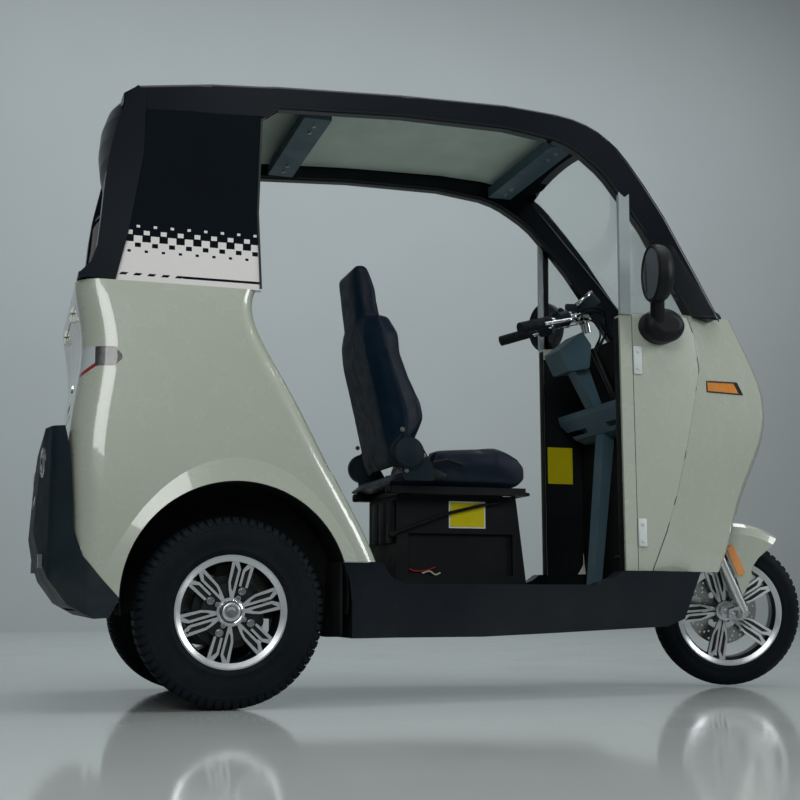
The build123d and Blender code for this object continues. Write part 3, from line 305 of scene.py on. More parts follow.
def rod(start, end, radius, sides=20, bevel=0.0):
    """A round bar between two points."""
    start, end = Vector(start), Vector(end)
    along = end - start
    bm = bmesh.new()
    bmesh.ops.create_cone(bm, cap_ends=True, segments=sides, radius1=radius, radius2=radius,
                          depth=along.length)
    turn = along.to_track_quat("Z", "Y").to_matrix().to_4x4()
    moved(bm, Matrix.Translation((start + end) / 2) @ turn)
    return bevelled(bm, bevel) if bevel else bm


def smooth_path(points, steps=8):
    """Points along a smooth line through the given ones."""
    points = [Vector(p) for p in points]
    ends = [points[0] * 2 - points[1]] + points + [points[-1] * 2 - points[-2]]
    path = []
    for i in range(1, len(ends) - 2):
        before, a, b, after = ends[i - 1:i + 3]
        for step in range(steps):
            t = step / steps
            path.append(0.5 * ((2 * a) + (b - before) * t + (2 * before - 5 * a + 4 * b - after) * t * t
                               + (3 * a - before - 3 * b + after) * t ** 3))
    path.append(points[-1])
    return path


def tube(points, radius, sides=10, loop=False):
    """A round tube along points, with its ends closed."""
    points = [Vector(p) for p in points]
    count = len(points)
    bm = bmesh.new()
    rings = []
    across = None
    for i, point in enumerate(points):
        ahead = points[(i + 1) % count] if loop or i < count - 1 else point
        behind = points[i - 1] if loop or i else point
        along = (ahead - behind).normalized()
        if across is None:
            across = along.orthogonal().normalized()
        across = (across - along * across.dot(along)).normalized()
        other = along.cross(across)
        rings.append([bm.verts.new(point + (across * math.cos(a) + other * math.sin(a)) * radius)
                      for a in (2 * math.pi * k / sides for k in range(sides))])
    for i in range(count if loop else count - 1):
        near, far = rings[i], rings[(i + 1) % count]
        for k in range(sides):
            bm.faces.new((near[k], near[(k + 1) % sides], far[(k + 1) % sides], far[k]))
    if not loop:
        bm.faces.new(rings[0][::-1])
        bm.faces.new(rings[-1])
    bmesh.ops.recalc_face_normals(bm, faces=bm.faces)
    return bm


def surface(*names):
    """A function that gives the place and the way out where a line meets the named nodes."""
    places, faces = [], []
    for name in names:
        obj = frame["nodes"][name]
        first = len(places)
        places += [obj.matrix_world @ vertex.co for vertex in obj.data.vertices]
        faces += [[first + i for i in face.vertices] for face in obj.data.polygons]
    tree = BVHTree.FromPolygons(places, faces)
    return lambda start, way: tree.ray_cast(start, way)[:2]


def spaced(points, step):
    """Points along straight runs, no further apart than a step."""
    points = [Vector(p) for p in points]
    path = [points[0]]
    for a, b in zip(points, points[1:]):
        count = max(1, math.ceil((b - a).length / step))
        path += [a.lerp(b, (k + 1) / count) for k in range(count)]
    return path


def laid(points, hit, way, lift=0.0, step=0.012):
    """Points dropped onto a surface along a way, and lifted off it."""
    way = Vector(way)
    places = [hit(point, way)[0] for point in spaced(points, step)]
    return [place - way * lift for place in places if place]


def side_line(outline, hit, radius, lift=0.0, loop=False):
    """A thin tube on the car's right side, along (x, z) points."""
    points = outline + outline[:1] if loop else outline
    path = laid([car(x, -700, z) for x, z in points], hit, (0, 1, 0), lift)
    return tube(path[:-1] if loop else path, radius * MM, 6, loop)


def arc_strip(profile, centre, arc, steps, side):
    """Part of a ring round a line across the car, from a profile of (radius, distance from the middle)."""
    bm = bmesh.new()
    rings = []
    for step in range(steps + 1):
        angle = math.radians(arc[0] + (arc[1] - arc[0]) * step / steps)
        rings.append([bm.verts.new(car(centre[0] + r * math.cos(angle), side * y,
                                       centre[1] + r * math.sin(angle)))
                      for r, y in profile])
    count = len(profile)
    for near, far in zip(rings, rings[1:]):
        for i in range(count):
            j = (i + 1) % count
            bm.faces.new((near[i], near[j], far[j], far[i]))
    bm.faces.new(rings[0][::-1])
    bm.faces.new(rings[-1])
    bmesh.ops.recalc_face_normals(bm, faces=bm.faces)
    return bm


def ring_loft(rings):
    """A closed solid through rings that have the same number of points."""
    bm = bmesh.new()
    loops = [[bm.verts.new(point) for point in ring] for ring in rings]
    count = len(rings[0])
    for low, high in zip(loops, loops[1:]):
        for i in range(count):
            j = (i + 1) % count
            bm.faces.new((low[i], low[j], high[j], high[i]))
    bm.faces.new(loops[0][::-1])
    bm.faces.new(loops[-1])
    bmesh.ops.recalc_face_normals(bm, faces=bm.faces)
    return bm


def lofted_sheet(grid, thickness):
    """A thin closed sheet under a grid of points."""
    bm = bmesh.new()
    down = Vector((0, 0, -thickness))
    upper = [[bm.verts.new(p) for p in row] for row in grid]
    lower = [[bm.verts.new(p + down) for p in row] for row in grid]
    rows, columns = len(grid), len(grid[0])
    for i in range(rows - 1):
        for j in range(columns - 1):
            bm.faces.new((upper[i][j], upper[i + 1][j], upper[i + 1][j + 1], upper[i][j + 1]))
            bm.faces.new((lower[i][j], lower[i][j + 1], lower[i + 1][j + 1], lower[i + 1][j]))
    rim = [(0, j) for j in range(columns)] + [(i, columns - 1) for i in range(1, rows)]
    rim += [(rows - 1, j) for j in range(columns - 2, -1, -1)] + [(i, 0) for i in range(rows - 2, 0, -1)]
    for (i, j), (k, m) in zip(rim, rim[1:] + rim[:1]):
        bm.faces.new((upper[i][j], upper[k][m], lower[k][m], lower[i][j]))
    bmesh.ops.recalc_face_normals(bm, faces=bm.faces)
    return bm


def screw_head(radius, sides=6):
    """A screw or nut head on a washer, standing on Z."""
    head = bmesh.new()
    bmesh.ops.create_cone(head, cap_ends=True, segments=20, radius1=radius * 1.3, radius2=radius * 1.2,
                          depth=radius * 0.25)
    top = bmesh.new()
    bmesh.ops.create_cone(top, cap_ends=True, segments=sides, radius1=radius, radius2=radius * 0.94,
                          depth=radius * 0.8)
    moved(top, Matrix.Translation((0, 0, radius * 0.5)))
    return joined(head, bevelled(top, radius * 0.1, 1))


def facing_space(place, way):
    """A space at a place, with its Y along a way."""
    return Matrix.Translation(place) @ Vector(way).to_track_quat("Y", "Z").to_matrix().to_4x4()


# Geometry node trees

def tree_with(name, inputs):
    """A geometry tree with a geometry input and output and the named inputs."""
    tree = bpy.data.node_groups.new(name, "GeometryNodeTree")
    tree.interface.new_socket(name="Geometry", in_out="INPUT", socket_type="NodeSocketGeometry")
    sockets = {label: tree.interface.new_socket(name=label, in_out="INPUT", socket_type=kind).identifier
               for label, kind in inputs}
    tree.interface.new_socket(name="Geometry", in_out="OUTPUT", socket_type="NodeSocketGeometry")
    return tree, sockets


def add(tree, kind, links=(), **settings):
    """A node with its settings, and links from (output, input name or index) pairs."""
    node = tree.nodes.new(kind)
    for key, value in settings.items():
        setattr(node, key, value)
    for source, target in links:
        tree.links.new(source, node.inputs[target])
    return node


def ring_tree():
    """Copies a piece round the Y axis and joins it to the carcass."""
    tree, sockets = tree_with("RingOfPieces", [("Piece", "NodeSocketObject"), ("Copies", "NodeSocketInt"),
                                              ("Finish", "NodeSocketMaterial")])
    start = add(tree, "NodeGroupInput")
    points = add(tree, "GeometryNodePoints", [(start.outputs["Copies"], "Count")])
    index = add(tree, "GeometryNodeInputIndex")
    share = add(tree, "ShaderNodeMath", [(index.outputs[0], 0), (start.outputs["Copies"], 1)],
                operation="DIVIDE")
    angle = add(tree, "ShaderNodeMath", [(share.outputs[0], 0)], operation="MULTIPLY")
    angle.inputs[1].default_value = 2 * math.pi
    turn = add(tree, "ShaderNodeCombineXYZ", [(angle.outputs[0], "Y")])
    source = add(tree, "GeometryNodeObjectInfo", [(start.outputs["Piece"], "Object")])
    copies = add(tree, "GeometryNodeInstanceOnPoints", [(points.outputs[0], "Points"),
                                                        (source.outputs["Geometry"], "Instance"),
                                                        (turn.outputs[0], "Rotation")])
    real = add(tree, "GeometryNodeRealizeInstances", [(copies.outputs[0], 0)])
    whole = add(tree, "GeometryNodeJoinGeometry", [(real.outputs[0], 0), (start.outputs["Geometry"], 0)])
    painted = add(tree, "GeometryNodeSetMaterial",
                  [(whole.outputs[0], "Geometry"), (start.outputs["Finish"], "Material")])
    add(tree, "NodeGroupOutput", [(painted.outputs[0], 0)])
    return tree, sockets


def spot_tree():
    """Copies a piece to every point of a mesh, its Z along the point's facing attribute."""
    tree, sockets = tree_with("PiecesOnSpots", [("Piece", "NodeSocketObject"), ("Size", "NodeSocketFloat"),
                                               ("Finish", "NodeSocketMaterial")])
    start = add(tree, "NodeGroupInput")
    facing = add(tree, "GeometryNodeInputNamedAttribute", data_type="FLOAT_VECTOR")
    facing.inputs["Name"].default_value = "facing"
    turn = add(tree, "FunctionNodeAlignRotationToVector", [(facing.outputs["Attribute"], "Vector")], axis="Z")
    source = add(tree, "GeometryNodeObjectInfo", [(start.outputs["Piece"], "Object")])
    copies = add(tree, "GeometryNodeInstanceOnPoints", [(start.outputs["Geometry"], "Points"),
                                                        (source.outputs["Geometry"], "Instance"),
                                                        (turn.outputs[0], "Rotation"),
                                                        (start.outputs["Size"], "Scale")])
    real = add(tree, "GeometryNodeRealizeInstances", [(copies.outputs[0], 0)])
    painted = add(tree, "GeometryNodeSetMaterial",
                  [(real.outputs[0], "Geometry"), (start.outputs["Finish"], "Material")])
    add(tree, "NodeGroupOutput", [(painted.outputs[0], 0)])
    return tree, sockets


TREES = {}


def geometry(key):
    """The tree of that name, made once."""
    if key not in TREES:
        TREES[key] = {"ring": ring_tree, "spots": spot_tree}[key]()
    return TREES[key]


def run_tree(obj, key, name, **inputs):
    """Run a tree on an object and keep the result as a plain mesh."""
    tree, sockets = geometry(key)
    modifier = obj.modifiers.new("Tree", "NODES")
    modifier.node_group = tree
    for label, value in inputs.items():
        modifier[sockets[label]] = value
    bpy.context.view_layer.update()
    return baked(obj, name)


def ring_of(name, carcass, source, copies, material, space):
    """A carcass with copies of a piece round it, moved to its hub."""
    part = link(name + "_part", mesh_of(name + "_part", source))
    mesh = run_tree(link(name + "_core", mesh_of(name + "_core", carcass)), "ring", name, Piece=part,
                    Copies=copies, Finish=material)
    bpy.data.objects.remove(part)
    mesh.transform(space)
    if space.determinant() < 0:
        mesh.flip_normals()
    mesh.shade_smooth()
    mesh.set_sharp_from_angle(angle=math.radians(35))
    return link(name, mesh)


def on_spots(name, spots, source, material, size=1.0):
    """Copies of a small piece at (point, facing) spots."""
    points = bpy.data.meshes.new(name + "_spots")
    points.from_pydata([tuple(p) for p, _ in spots], [], [])
    facing = points.attributes.new("facing", "FLOAT_VECTOR", "POINT")
    for item, (_, way) in zip(facing.data, spots):
        item.vector = tuple(way)
    part = link(name + "_part", mesh_of(name + "_part", source))
    mesh = run_tree(link(name + "_base", points), "spots", name, Piece=part, Size=size, Finish=material)
    bpy.data.objects.remove(part)
    mesh.shade_smooth()
    mesh.set_sharp_from_angle(angle=math.radians(35))
    return link(name, mesh)


# Materials

class Finish:
    """A material's nodes, with short calls for the ones that the finishes use."""

    def __init__(self, name, **sockets):
        self.material = bpy.data.materials.new(name)
        self.material.use_nodes = True
        self.tree = self.material.node_tree
        self.tree.nodes.clear()
        self.shader = self.node("ShaderNodeBsdfPrincipled")
        output = self.node("ShaderNodeOutputMaterial")
        self.tree.links.new(self.shader.outputs[0], output.inputs[0])
        self.place = self.node("ShaderNodeTexCoord")
        self.normal = None
        for label, value in sockets.items():
            self.set(label.replace("_", " "), value)

    def node(self, kind, **settings):
        node = self.tree.nodes.new(kind)
        for key, value in settings.items():
            setattr(node, key, value)
        return node

    def set(self, label, value):
        socket = self.shader.inputs[label]
        if isinstance(value, bpy.types.NodeSocket):
            self.tree.links.new(value, socket)
        else:
            socket.default_value = (*value, 1.0) if isinstance(value, (tuple, list)) else value

    def feed(self, node, index, value):
        socket = node.inputs[index]
        if isinstance(value, bpy.types.NodeSocket):
            self.tree.links.new(value, socket)
        elif value is not None:
            socket.default_value = value

    def math(self, operation, a, b=None, c=None):
        node = self.node("ShaderNodeMath", operation=operation)
        for index, value in enumerate((a, b, c)):
            self.feed(node, index, value)
        return node.outputs[0]

    def mapped(self, scale=(1, 1, 1), turn=(0, 0, 0), shift=(0, 0, 0), source="Object", kind="POINT"):
        node = self.node("ShaderNodeMapping", vector_type=kind)
        self.tree.links.new(self.place.outputs[source], node.inputs["Vector"])
        node.inputs["Scale"].default_value = scale
        node.inputs["Rotation"].default_value = turn
        if kind != "NORMAL":
            node.inputs["Location"].default_value = shift
        return node.outputs[0]

    def noise(self, scale, detail=4.0, roughness=0.55, vector=None):
        node = self.node("ShaderNodeTexNoise")
        self.tree.links.new(vector or self.place.outputs["Object"], node.inputs["Vector"])
        node.inputs["Scale"].default_value = scale
        node.inputs["Detail"].default_value = detail
        node.inputs["Roughness"].default_value = roughness
        return node.outputs["Fac"]

    def cells(self, scale, feature="F1", vector=None):
        node = self.node("ShaderNodeTexVoronoi", feature=feature)
        self.tree.links.new(vector or self.place.outputs["Object"], node.inputs["Vector"])
        node.inputs["Scale"].default_value = scale
        return node.outputs["Distance"]

    def waves(self, scale, direction="X", distortion=0.0, vector=None, bands="BANDS"):
        node = self.node("ShaderNodeTexWave", wave_type=bands)
        if bands == "BANDS":
            node.bands_direction = direction
        else:
            node.rings_direction = direction
        self.tree.links.new(vector or self.place.outputs["Object"], node.inputs["Vector"])
        node.inputs["Scale"].default_value = scale
        node.inputs["Distortion"].default_value = distortion
        return node.outputs["Fac"]

    def spread(self, value, low, high, to_low=0.0, to_high=1.0):
        """The value, stretched from one range to another and held inside it."""
        node = self.node("ShaderNodeMapRange")
        self.feed(node, 0, value)
        for index, number in enumerate((low, high, to_low, to_high)):
            node.inputs[index + 1].default_value = number
        return node.outputs[0]

    def mix(self, share, first, second):
        node = self.node("ShaderNodeMix", data_type="RGBA")
        self.feed(node, 0, share)
        for index, value in ((6, first), (7, second)):
            self.feed(node, index, (*value, 1.0) if isinstance(value, (tuple, list)) else value)
        return node.outputs[2]

    def bump(self, height, distance, strength=1.0):
        node = self.node("ShaderNodeBump")
        self.tree.links.new(height, node.inputs["Height"])
        node.inputs["Distance"].default_value = distance
        node.inputs["Strength"].default_value = strength
        if self.normal is not None:
            self.tree.links.new(self.normal, node.inputs["Normal"])
        self.normal = node.outputs[0]
        self.tree.links.new(self.normal, self.shader.inputs["Normal"])

    def axis(self, name, source="Object"):
        node = self.node("ShaderNodeSeparateXYZ")
        self.tree.links.new(self.place.outputs[source], node.inputs[0])
        return node.outputs[name]

    def dusty(self, base, tone, low, high, strength=0.5):
        """Dust that gathers towards the floor, from one height to another."""
        height = self.spread(self.axis("Z"), low, high, 1.0, 0.0)
        patchy = self.spread(self.noise(9.0), 0.35, 0.7)
        amount = self.math("MULTIPLY", self.math("MULTIPLY", height, patchy), strength)
        return self.mix(amount, base, tone)


def darker(tone, share):
    """A share of a tone's light."""
    return tuple(value * share for value in tone)


def toward(tone, other, share):
    """A tone moved part of the way to another."""
    return tuple(a + (b - a) * share for a, b in zip(tone, other))


DUST = shade(122, 122, 114)


def paint(name, tone, peel=0.00003, roughness=0.3, dust=0.0, base_shine=0.5, coat=1.0):
    """Clear coated paint with a slight orange peel, over wide soft changes of shade."""
    made = Finish(name, Coat_Weight=coat, Coat_Roughness=0.03, Specular_IOR_Level=base_shine)
    varied = made.mix(made.spread(made.noise(1.1, 1.0), 0.3, 0.7), darker(tone, 0.965),
                      toward(tone, (1, 1, 1), 0.015))
    if dust:
        varied = made.dusty(varied, DUST, 0.16, 0.42, dust)
    made.set("Base Color", varied)
    made.set("Roughness", made.spread(made.noise(14.0), 0.3, 0.7, roughness - 0.03, roughness + 0.04))
    made.bump(made.noise(170.0, 2.0), peel * 5)
    return made.material


def moulded(name, tone, grain=1100.0, roughness=0.52, depth=0.00012, dust=0.25, **sockets):
    """Grained moulded plastic."""
    made = Finish(name, Specular_IOR_Level=0.12, **sockets)
    varied = made.mix(made.spread(made.noise(6.0), 0.3, 0.7), darker(tone, 0.82),
                      toward(tone, (0.2, 0.2, 0.2), 0.02))
    made.set("Base Color", made.dusty(varied, DUST, 0.12, 0.6, dust * 0.4))
    made.set("Roughness", made.spread(made.noise(11.0), 0.3, 0.7, roughness - 0.08, roughness + 0.1))
    made.bump(made.cells(grain), depth)
    return made.material


def metal(name, tone, roughness=0.3, streaks=None, depth=0.00004, **sockets):
    """Bare or plated metal with a fine brushed or cast grain."""
    made = Finish(name, Metallic=1.0, **sockets)
    grain = made.noise(220.0, 3.0, vector=made.mapped(streaks)) if streaks else made.noise(420.0, 3.0)
    made.set("Base Color", made.mix(made.spread(made.noise(12.0), 0.3, 0.7), darker(tone, 0.84), tone))
    made.set("Roughness", made.spread(grain, 0.3, 0.7, roughness - 0.08, roughness + 0.1))
    made.bump(grain, depth)
    return made.material


def forked(name, tone):
    """Silver fork legs under a black steering column."""
    made = Finish(name, Specular_IOR_Level=0.4)
    column = made.math("GREATER_THAN", made.axis("Z"), 0.62)
    made.set("Base Color",
             made.mix(column, made.mix(made.noise(12.0), darker(tone, 0.84), tone), shade(8, 10, 12)))
    made.set("Metallic", made.math("SUBTRACT", 1.0, column))
    made.set("Roughness", made.spread(made.noise(420.0, 3.0), 0.3, 0.7, 0.26, 0.44))
    made.bump(made.noise(420.0, 3.0), 0.00004)
    return made.material


def rubber(name, tone, dust=0.1):
    """Tyre, grip or cable rubber with a little dust in its grain."""
    made = Finish(name, Specular_IOR_Level=0.1)
    varied = made.mix(made.spread(made.noise(5.0), 0.3, 0.75), darker(tone, 0.8), toward(tone, DUST, 0.02))
    made.set("Base Color",
             made.mix(made.math("MULTIPLY", made.spread(made.noise(60.0), 0.5, 0.9), dust), varied, DUST))
    made.set("Roughness", made.spread(made.noise(18.0), 0.3, 0.7, 0.55, 0.78))
    made.bump(made.noise(500.0, 3.0), 0.00018)
    return made.material


def vinyl(name, tone, roughness=0.45):
    """Leather-like seat cover with a fine pebble grain."""
    made = Finish(name, Sheen_Weight=0.01, Sheen_Roughness=0.4, Specular_IOR_Level=0.13)
    made.set("Base Color", made.mix(made.spread(made.noise(8.0), 0.3, 0.7), darker(tone, 0.75),
                                    toward(tone, (0.2, 0.26, 0.34), 0.02)))
    made.set("Roughness", made.spread(made.noise(30.0), 0.3, 0.7, roughness - 0.08, roughness + 0.1))
    made.bump(made.noise(26.0, 3.0), 0.0009, 0.6)
    made.bump(made.cells(520.0, "DISTANCE_TO_EDGE"), 0.00035)
    return made.material


def glass(name, tone, roughness=0.02, **sockets):
    made = Finish(name, Transmission_Weight=1.0, IOR=1.45, **sockets)
    made.set("Base Color", made.mix(made.spread(made.noise(3.0), 0.3, 0.7), darker(tone, 0.96), tone))
    made.set("Roughness", made.spread(made.noise(20.0), 0.35, 0.75, roughness, roughness + 0.03))
    made.bump(made.noise(5.0, 2.0), 0.0001)
    return made.material


def lens(name, tone, pitch=180.0, clear=0.35):
    """Ribbed lamp lens."""
    made = Finish(name, Transmission_Weight=clear, IOR=1.49, Coat_Weight=0.6, Coat_Roughness=0.04)
    made.set("Base Color", made.mix(made.spread(made.noise(30.0), 0.3, 0.7), darker(tone, 0.8), tone))
    made.set("Roughness", made.spread(made.noise(40.0), 0.3, 0.7, 0.12, 0.24))
    made.bump(made.math("ADD", made.waves(pitch, "X"), made.waves(pitch, "Z")), 0.0004)
    return made.material


def alloy(name, tone, space, outward, face, lean):
    """Cast rim: machined where a face looks outwards at the front of the spokes, black behind.
    space is the hub's own space, with its axle along Y, and outward says which way along Y is out.
    face gives a radius and how far out the machined face lies there; it leans back by lean per metre."""
    made = Finish(name)
    back = space.inverted()
    turn = back.to_euler()
    local = made.mapped(turn=turn, shift=back.translation)
    way = made.mapped(turn=turn, source="Normal", kind="NORMAL")
    parts = made.node("ShaderNodeSeparateXYZ")
    made.tree.links.new(local, parts.inputs[0])
    ways = made.node("ShaderNodeSeparateXYZ")
    made.tree.links.new(way, ways.inputs[0])
    flat = made.node("ShaderNodeVectorMath", operation="MULTIPLY")
    made.tree.links.new(local, flat.inputs[0])
    flat.inputs[1].default_value = (1, 0, 1)
    size = made.node("ShaderNodeVectorMath", operation="LENGTH")
    made.tree.links.new(flat.outputs[0], size.inputs[0])
    radius = size.outputs["Value"]
    edge, depth = face
    plane = made.math("ADD", made.math("MULTIPLY", made.math("SUBTRACT", radius, edge), lean), depth)
    proud = made.math("GREATER_THAN", made.math("MULTIPLY", parts.outputs["Y"], outward), plane)
    looking = made.math("GREATER_THAN", made.math("MULTIPLY", ways.outputs["Y"], outward), 0.78)
    shine = made.math("MULTIPLY", proud, looking)
    turned = made.waves(900.0, "Y", 0.0, local, "RINGS")
    silver = made.mix(turned, darker(tone, 0.9), tone)
    black = made.mix(made.noise(40.0), shade(6, 8, 10), shade(16, 19, 22))
    made.set("Base Color", made.mix(shine, black, silver))
    made.set("Metallic", made.math("MULTIPLY", shine, 0.75))
    made.set("Roughness", made.math("ADD", made.math("MULTIPLY", made.noise(60.0), 0.12), 0.26))
    made.bump(turned, 0.00001)
    return made.material


def tail_lens(name, red):
    """Tail lamp: smoked at the side, pale at the rear corner, with a red lower edge."""
    made = Finish(name, Transmission_Weight=0.25, IOR=1.49, Coat_Weight=1.0, Coat_Roughness=0.03)
    x, z = made.axis("X"), made.axis("Z")
    smoked = made.math("GREATER_THAN", x, car(-352, 0, 0).x)
    edge = made.math("SUBTRACT", z, made.math("MULTIPLY", made.math("SUBTRACT", x, car(-348, 0, 0).x), 0.7))
    low = made.math("LESS_THAN", edge, 0.859)
    body = made.mix(smoked, shade(190, 198, 200),
                    made.mix(made.noise(30.0), shade(44, 46, 46), shade(70, 70, 70)))
    made.set("Base Color",
             made.mix(made.math("MULTIPLY", low, made.math("SUBTRACT", 1.0, smoked)), body, red))
    made.set("Roughness", made.spread(made.noise(40.0), 0.3, 0.7, 0.1, 0.2))
    made.bump(made.waves(120.0, "X"), 0.0002)
    return made.material


def printed(name, tone, white, sizes):
    """Gloss black panel with a white strip at its foot that breaks up into a checker fade."""
    made = Finish(name, Coat_Weight=1.0, Coat_Roughness=0.03, Specular_IOR_Level=0.0)
    x, z = made.axis("X"), made.axis("Z")
    foot, strip, cell, rows = sizes.foot, sizes.strip, sizes.cell, sizes.rows
    across = made.math("DIVIDE", x, cell)
    up = made.math("DIVIDE", made.math("SUBTRACT", z, foot + strip), cell * 0.78)
    column, row = made.math("FLOOR", across), made.math("FLOOR", up)
    inside_x = made.math("ABSOLUTE", made.math("SUBTRACT", made.math("SUBTRACT", across, column), 0.5))
    inside_z = made.math("ABSOLUTE", made.math("SUBTRACT", made.math("SUBTRACT", up, row), 0.5))
    away = made.math("MAXIMUM", inside_x, inside_z)
    odd = made.math("MODULO", made.math("ABSOLUTE", made.math("ADD", column, row)), 2.0)
    size = made.spread(row, -1.0, float(rows), 0.95, 0.05)
    light = made.math("LESS_THAN", away, size)
    dark = made.math("LESS_THAN", away, made.math("SUBTRACT", 1.0, size))
    light_cell = made.math("MULTIPLY", light, made.math("SUBTRACT", 1.0, odd))
    dark_cell = made.math("MULTIPLY", made.math("SUBTRACT", 1.0, dark), odd)
    checks = made.math("ADD", light_cell, dark_cell)
    over = made.math("GREATER_THAN", up, 0.0)
    under_top = made.math("LESS_THAN", up, float(rows))
    pattern = made.math("MULTIPLY", made.math("MULTIPLY", checks, over), under_top)
    plain = made.math("SUBTRACT", 1.0, over)
    height = made.math("SUBTRACT", z, foot)
    line = made.math("MULTIPLY", made.math("GREATER_THAN", height, 0.014),
                     made.math("LESS_THAN", height, 0.021))
    dashes = made.math("GREATER_THAN",
                       made.math("FRACT", made.math("MULTIPLY", made.math("SUBTRACT", x, height), 28.0)), 0.5)
    whole = made.math("GREATER_THAN", x, -0.84)
    stripe = made.math("MULTIPLY", line, made.math("MAXIMUM", dashes, whole))
    ink = made.math("MULTIPLY", made.math("ADD", pattern, plain), made.math("SUBTRACT", 1.0, stripe))
    base = made.mix(made.spread(made.noise(4.0), 0.3, 0.7), darker(tone, 0.7), tone)
    made.set("Base Color", made.mix(ink, base, made.mix(made.noise(9.0), darker(white, 0.94), white)))
    made.set("Roughness", made.spread(made.noise(16.0), 0.3, 0.7, 0.3, 0.34))
    made.bump(made.noise(120.0, 2.0), 0.00006)
    return made.material


FINISHES = {}


def make_finishes(colours, print_sizes):
    """Every finish of the car, by name."""
    black = tuple(colours.black)
    FINISHES.update({
        "cream": paint("CreamPaint", tuple(colours.cream), peel=0.000008, roughness=0.26),
        "black": paint("GlossBlack", black, peel=0.00001, roughness=0.3, base_shine=0.0, coat=0.4),
        "sill": paint("SillBlack", shade(1, 9, 18), peel=0.00001, roughness=0.35, dust=0.03, base_shine=0.0,
                      coat=0.4),
        "liner": moulded("ArchLiner", shade(5, 7, 9), grain=240.0, roughness=0.8, dust=0.05),
        "trim": moulded("TrimRubber", shade(40, 48, 48), grain=900.0, roughness=0.55, dust=0.0),
        "seam": moulded("PanelSeam", shade(48, 52, 46), grain=900.0, roughness=0.8, dust=0.0),
        "reflector": lens("ClearReflector", shade(120, 128, 130), pitch=300.0, clear=0.2),
        "wire_red": rubber("RedWire", shade(120, 34, 20), dust=0.0),
        "wire_white": rubber("WhiteWire", shade(170, 168, 150), dust=0.0),
        "dial": moulded("DialFace", shade(40, 50, 48), grain=1400.0, roughness=0.3, dust=0.0,
                        Coat_Weight=1.0),
        "marks": moulded("DialMarks", shade(190, 196, 190), grain=1400.0, roughness=0.5, dust=0.0),
        "mat": moulded("FloorMat", shade(20, 24, 26), grain=160.0, roughness=0.75, dust=0.2),
        "tail": tail_lens("TailLens", tuple(colours.red)),
        "plastic": moulded("BumperPlastic", tuple(colours.plastic)),
        "grey": moulded("GreyPlastic", tuple(colours.grey), roughness=0.46),
        "lining": moulded("RoofLining", tuple(colours.lining), grain=700.0, roughness=0.7, dust=0.0),
        "frame": moulded("FramePaint", shade(14, 17, 20), grain=500.0, roughness=0.42),
        "machinery": metal("CastMachinery", shade(92, 96, 98), roughness=0.5, depth=0.0002),
        "battery": moulded("BatteryCase", shade(30, 34, 40), grain=800.0),
        "seat": vinyl("SeatCover", tuple(colours.seat)),
        "seat_shell": vinyl("SeatShell", tuple(colours.seat_shell), roughness=0.55),
        "rubber": rubber("TyreRubber", tuple(colours.rubber), dust=0.02),
        "grip": rubber("GripRubber", shade(22, 26, 30), dust=0.1),
        "fork": forked("ForkSilver", shade(188, 192, 192)),
        "post": moulded("DoorPost", shade(142, 151, 154), grain=900.0, roughness=0.35, depth=0.00002,
                        dust=0.0, Coat_Weight=0.6, Coat_Roughness=0.1),
        "inside": moulded("CabinBlack", shade(4, 9, 12), grain=500.0, roughness=0.62, dust=0.05),
        "steel": metal("DiscSteel", shade(150, 150, 148), roughness=0.3, streaks=(1, 0.1, 1)),
        "chrome": metal("Chrome", shade(214, 216, 218), roughness=0.14),
        "bolt": metal("ZincBolt", shade(150, 152, 150), roughness=0.35),
        "glass": glass("ClearGlass", (0.93, 0.96, 0.95)),
        "tinted": paint("DarkGlass", shade(14, 22, 26), peel=0.000002, roughness=0.1, base_shine=0.2),
        "amber": lens("AmberLens", tuple(colours.amber), clear=0.15),
        "shell": moulded("MirrorShell", shade(13, 17, 20), grain=1400.0, roughness=0.4, dust=0.0),
        # Mirror glass in a dark grey instead of bright silver: a painted dark reflection, which dims whatever
        # the glass reflects
        "mirror": metal("MirrorPaintedDarkReflection", shade(60, 68, 74), roughness=0.08, depth=0.000005),
        "label": moulded("BlankLabel", tuple(colours.label), grain=300.0, roughness=0.4, depth=0.00002,
                         dust=0.0),
        "white_cover": moulded("HingeCover", shade(196, 204, 202), grain=600.0, roughness=0.4, depth=0.00003,
                               dust=0.0),
        "print": printed("QuarterPrint", black, tuple(colours.print_white), print_sizes),
        "cable": rubber("CableCover", shade(12, 14, 16), dust=0.05),
    })
    silver = tuple(colours.silver)
    for side, way in SIDES.items():
        FINISHES[f"rear_alloy_{side}"] = alloy(f"RearAlloy_{side}", silver,
                                               Matrix.Translation(REAR_HUB[side]), way, (0.126, 0.0425), 0.0)
    FINISHES["front_alloy"] = alloy("FrontAlloy", silver, FRONT_WHEEL, -1.0, (0.150, 0.0305),
                                    math.tan(math.radians(17.8)))


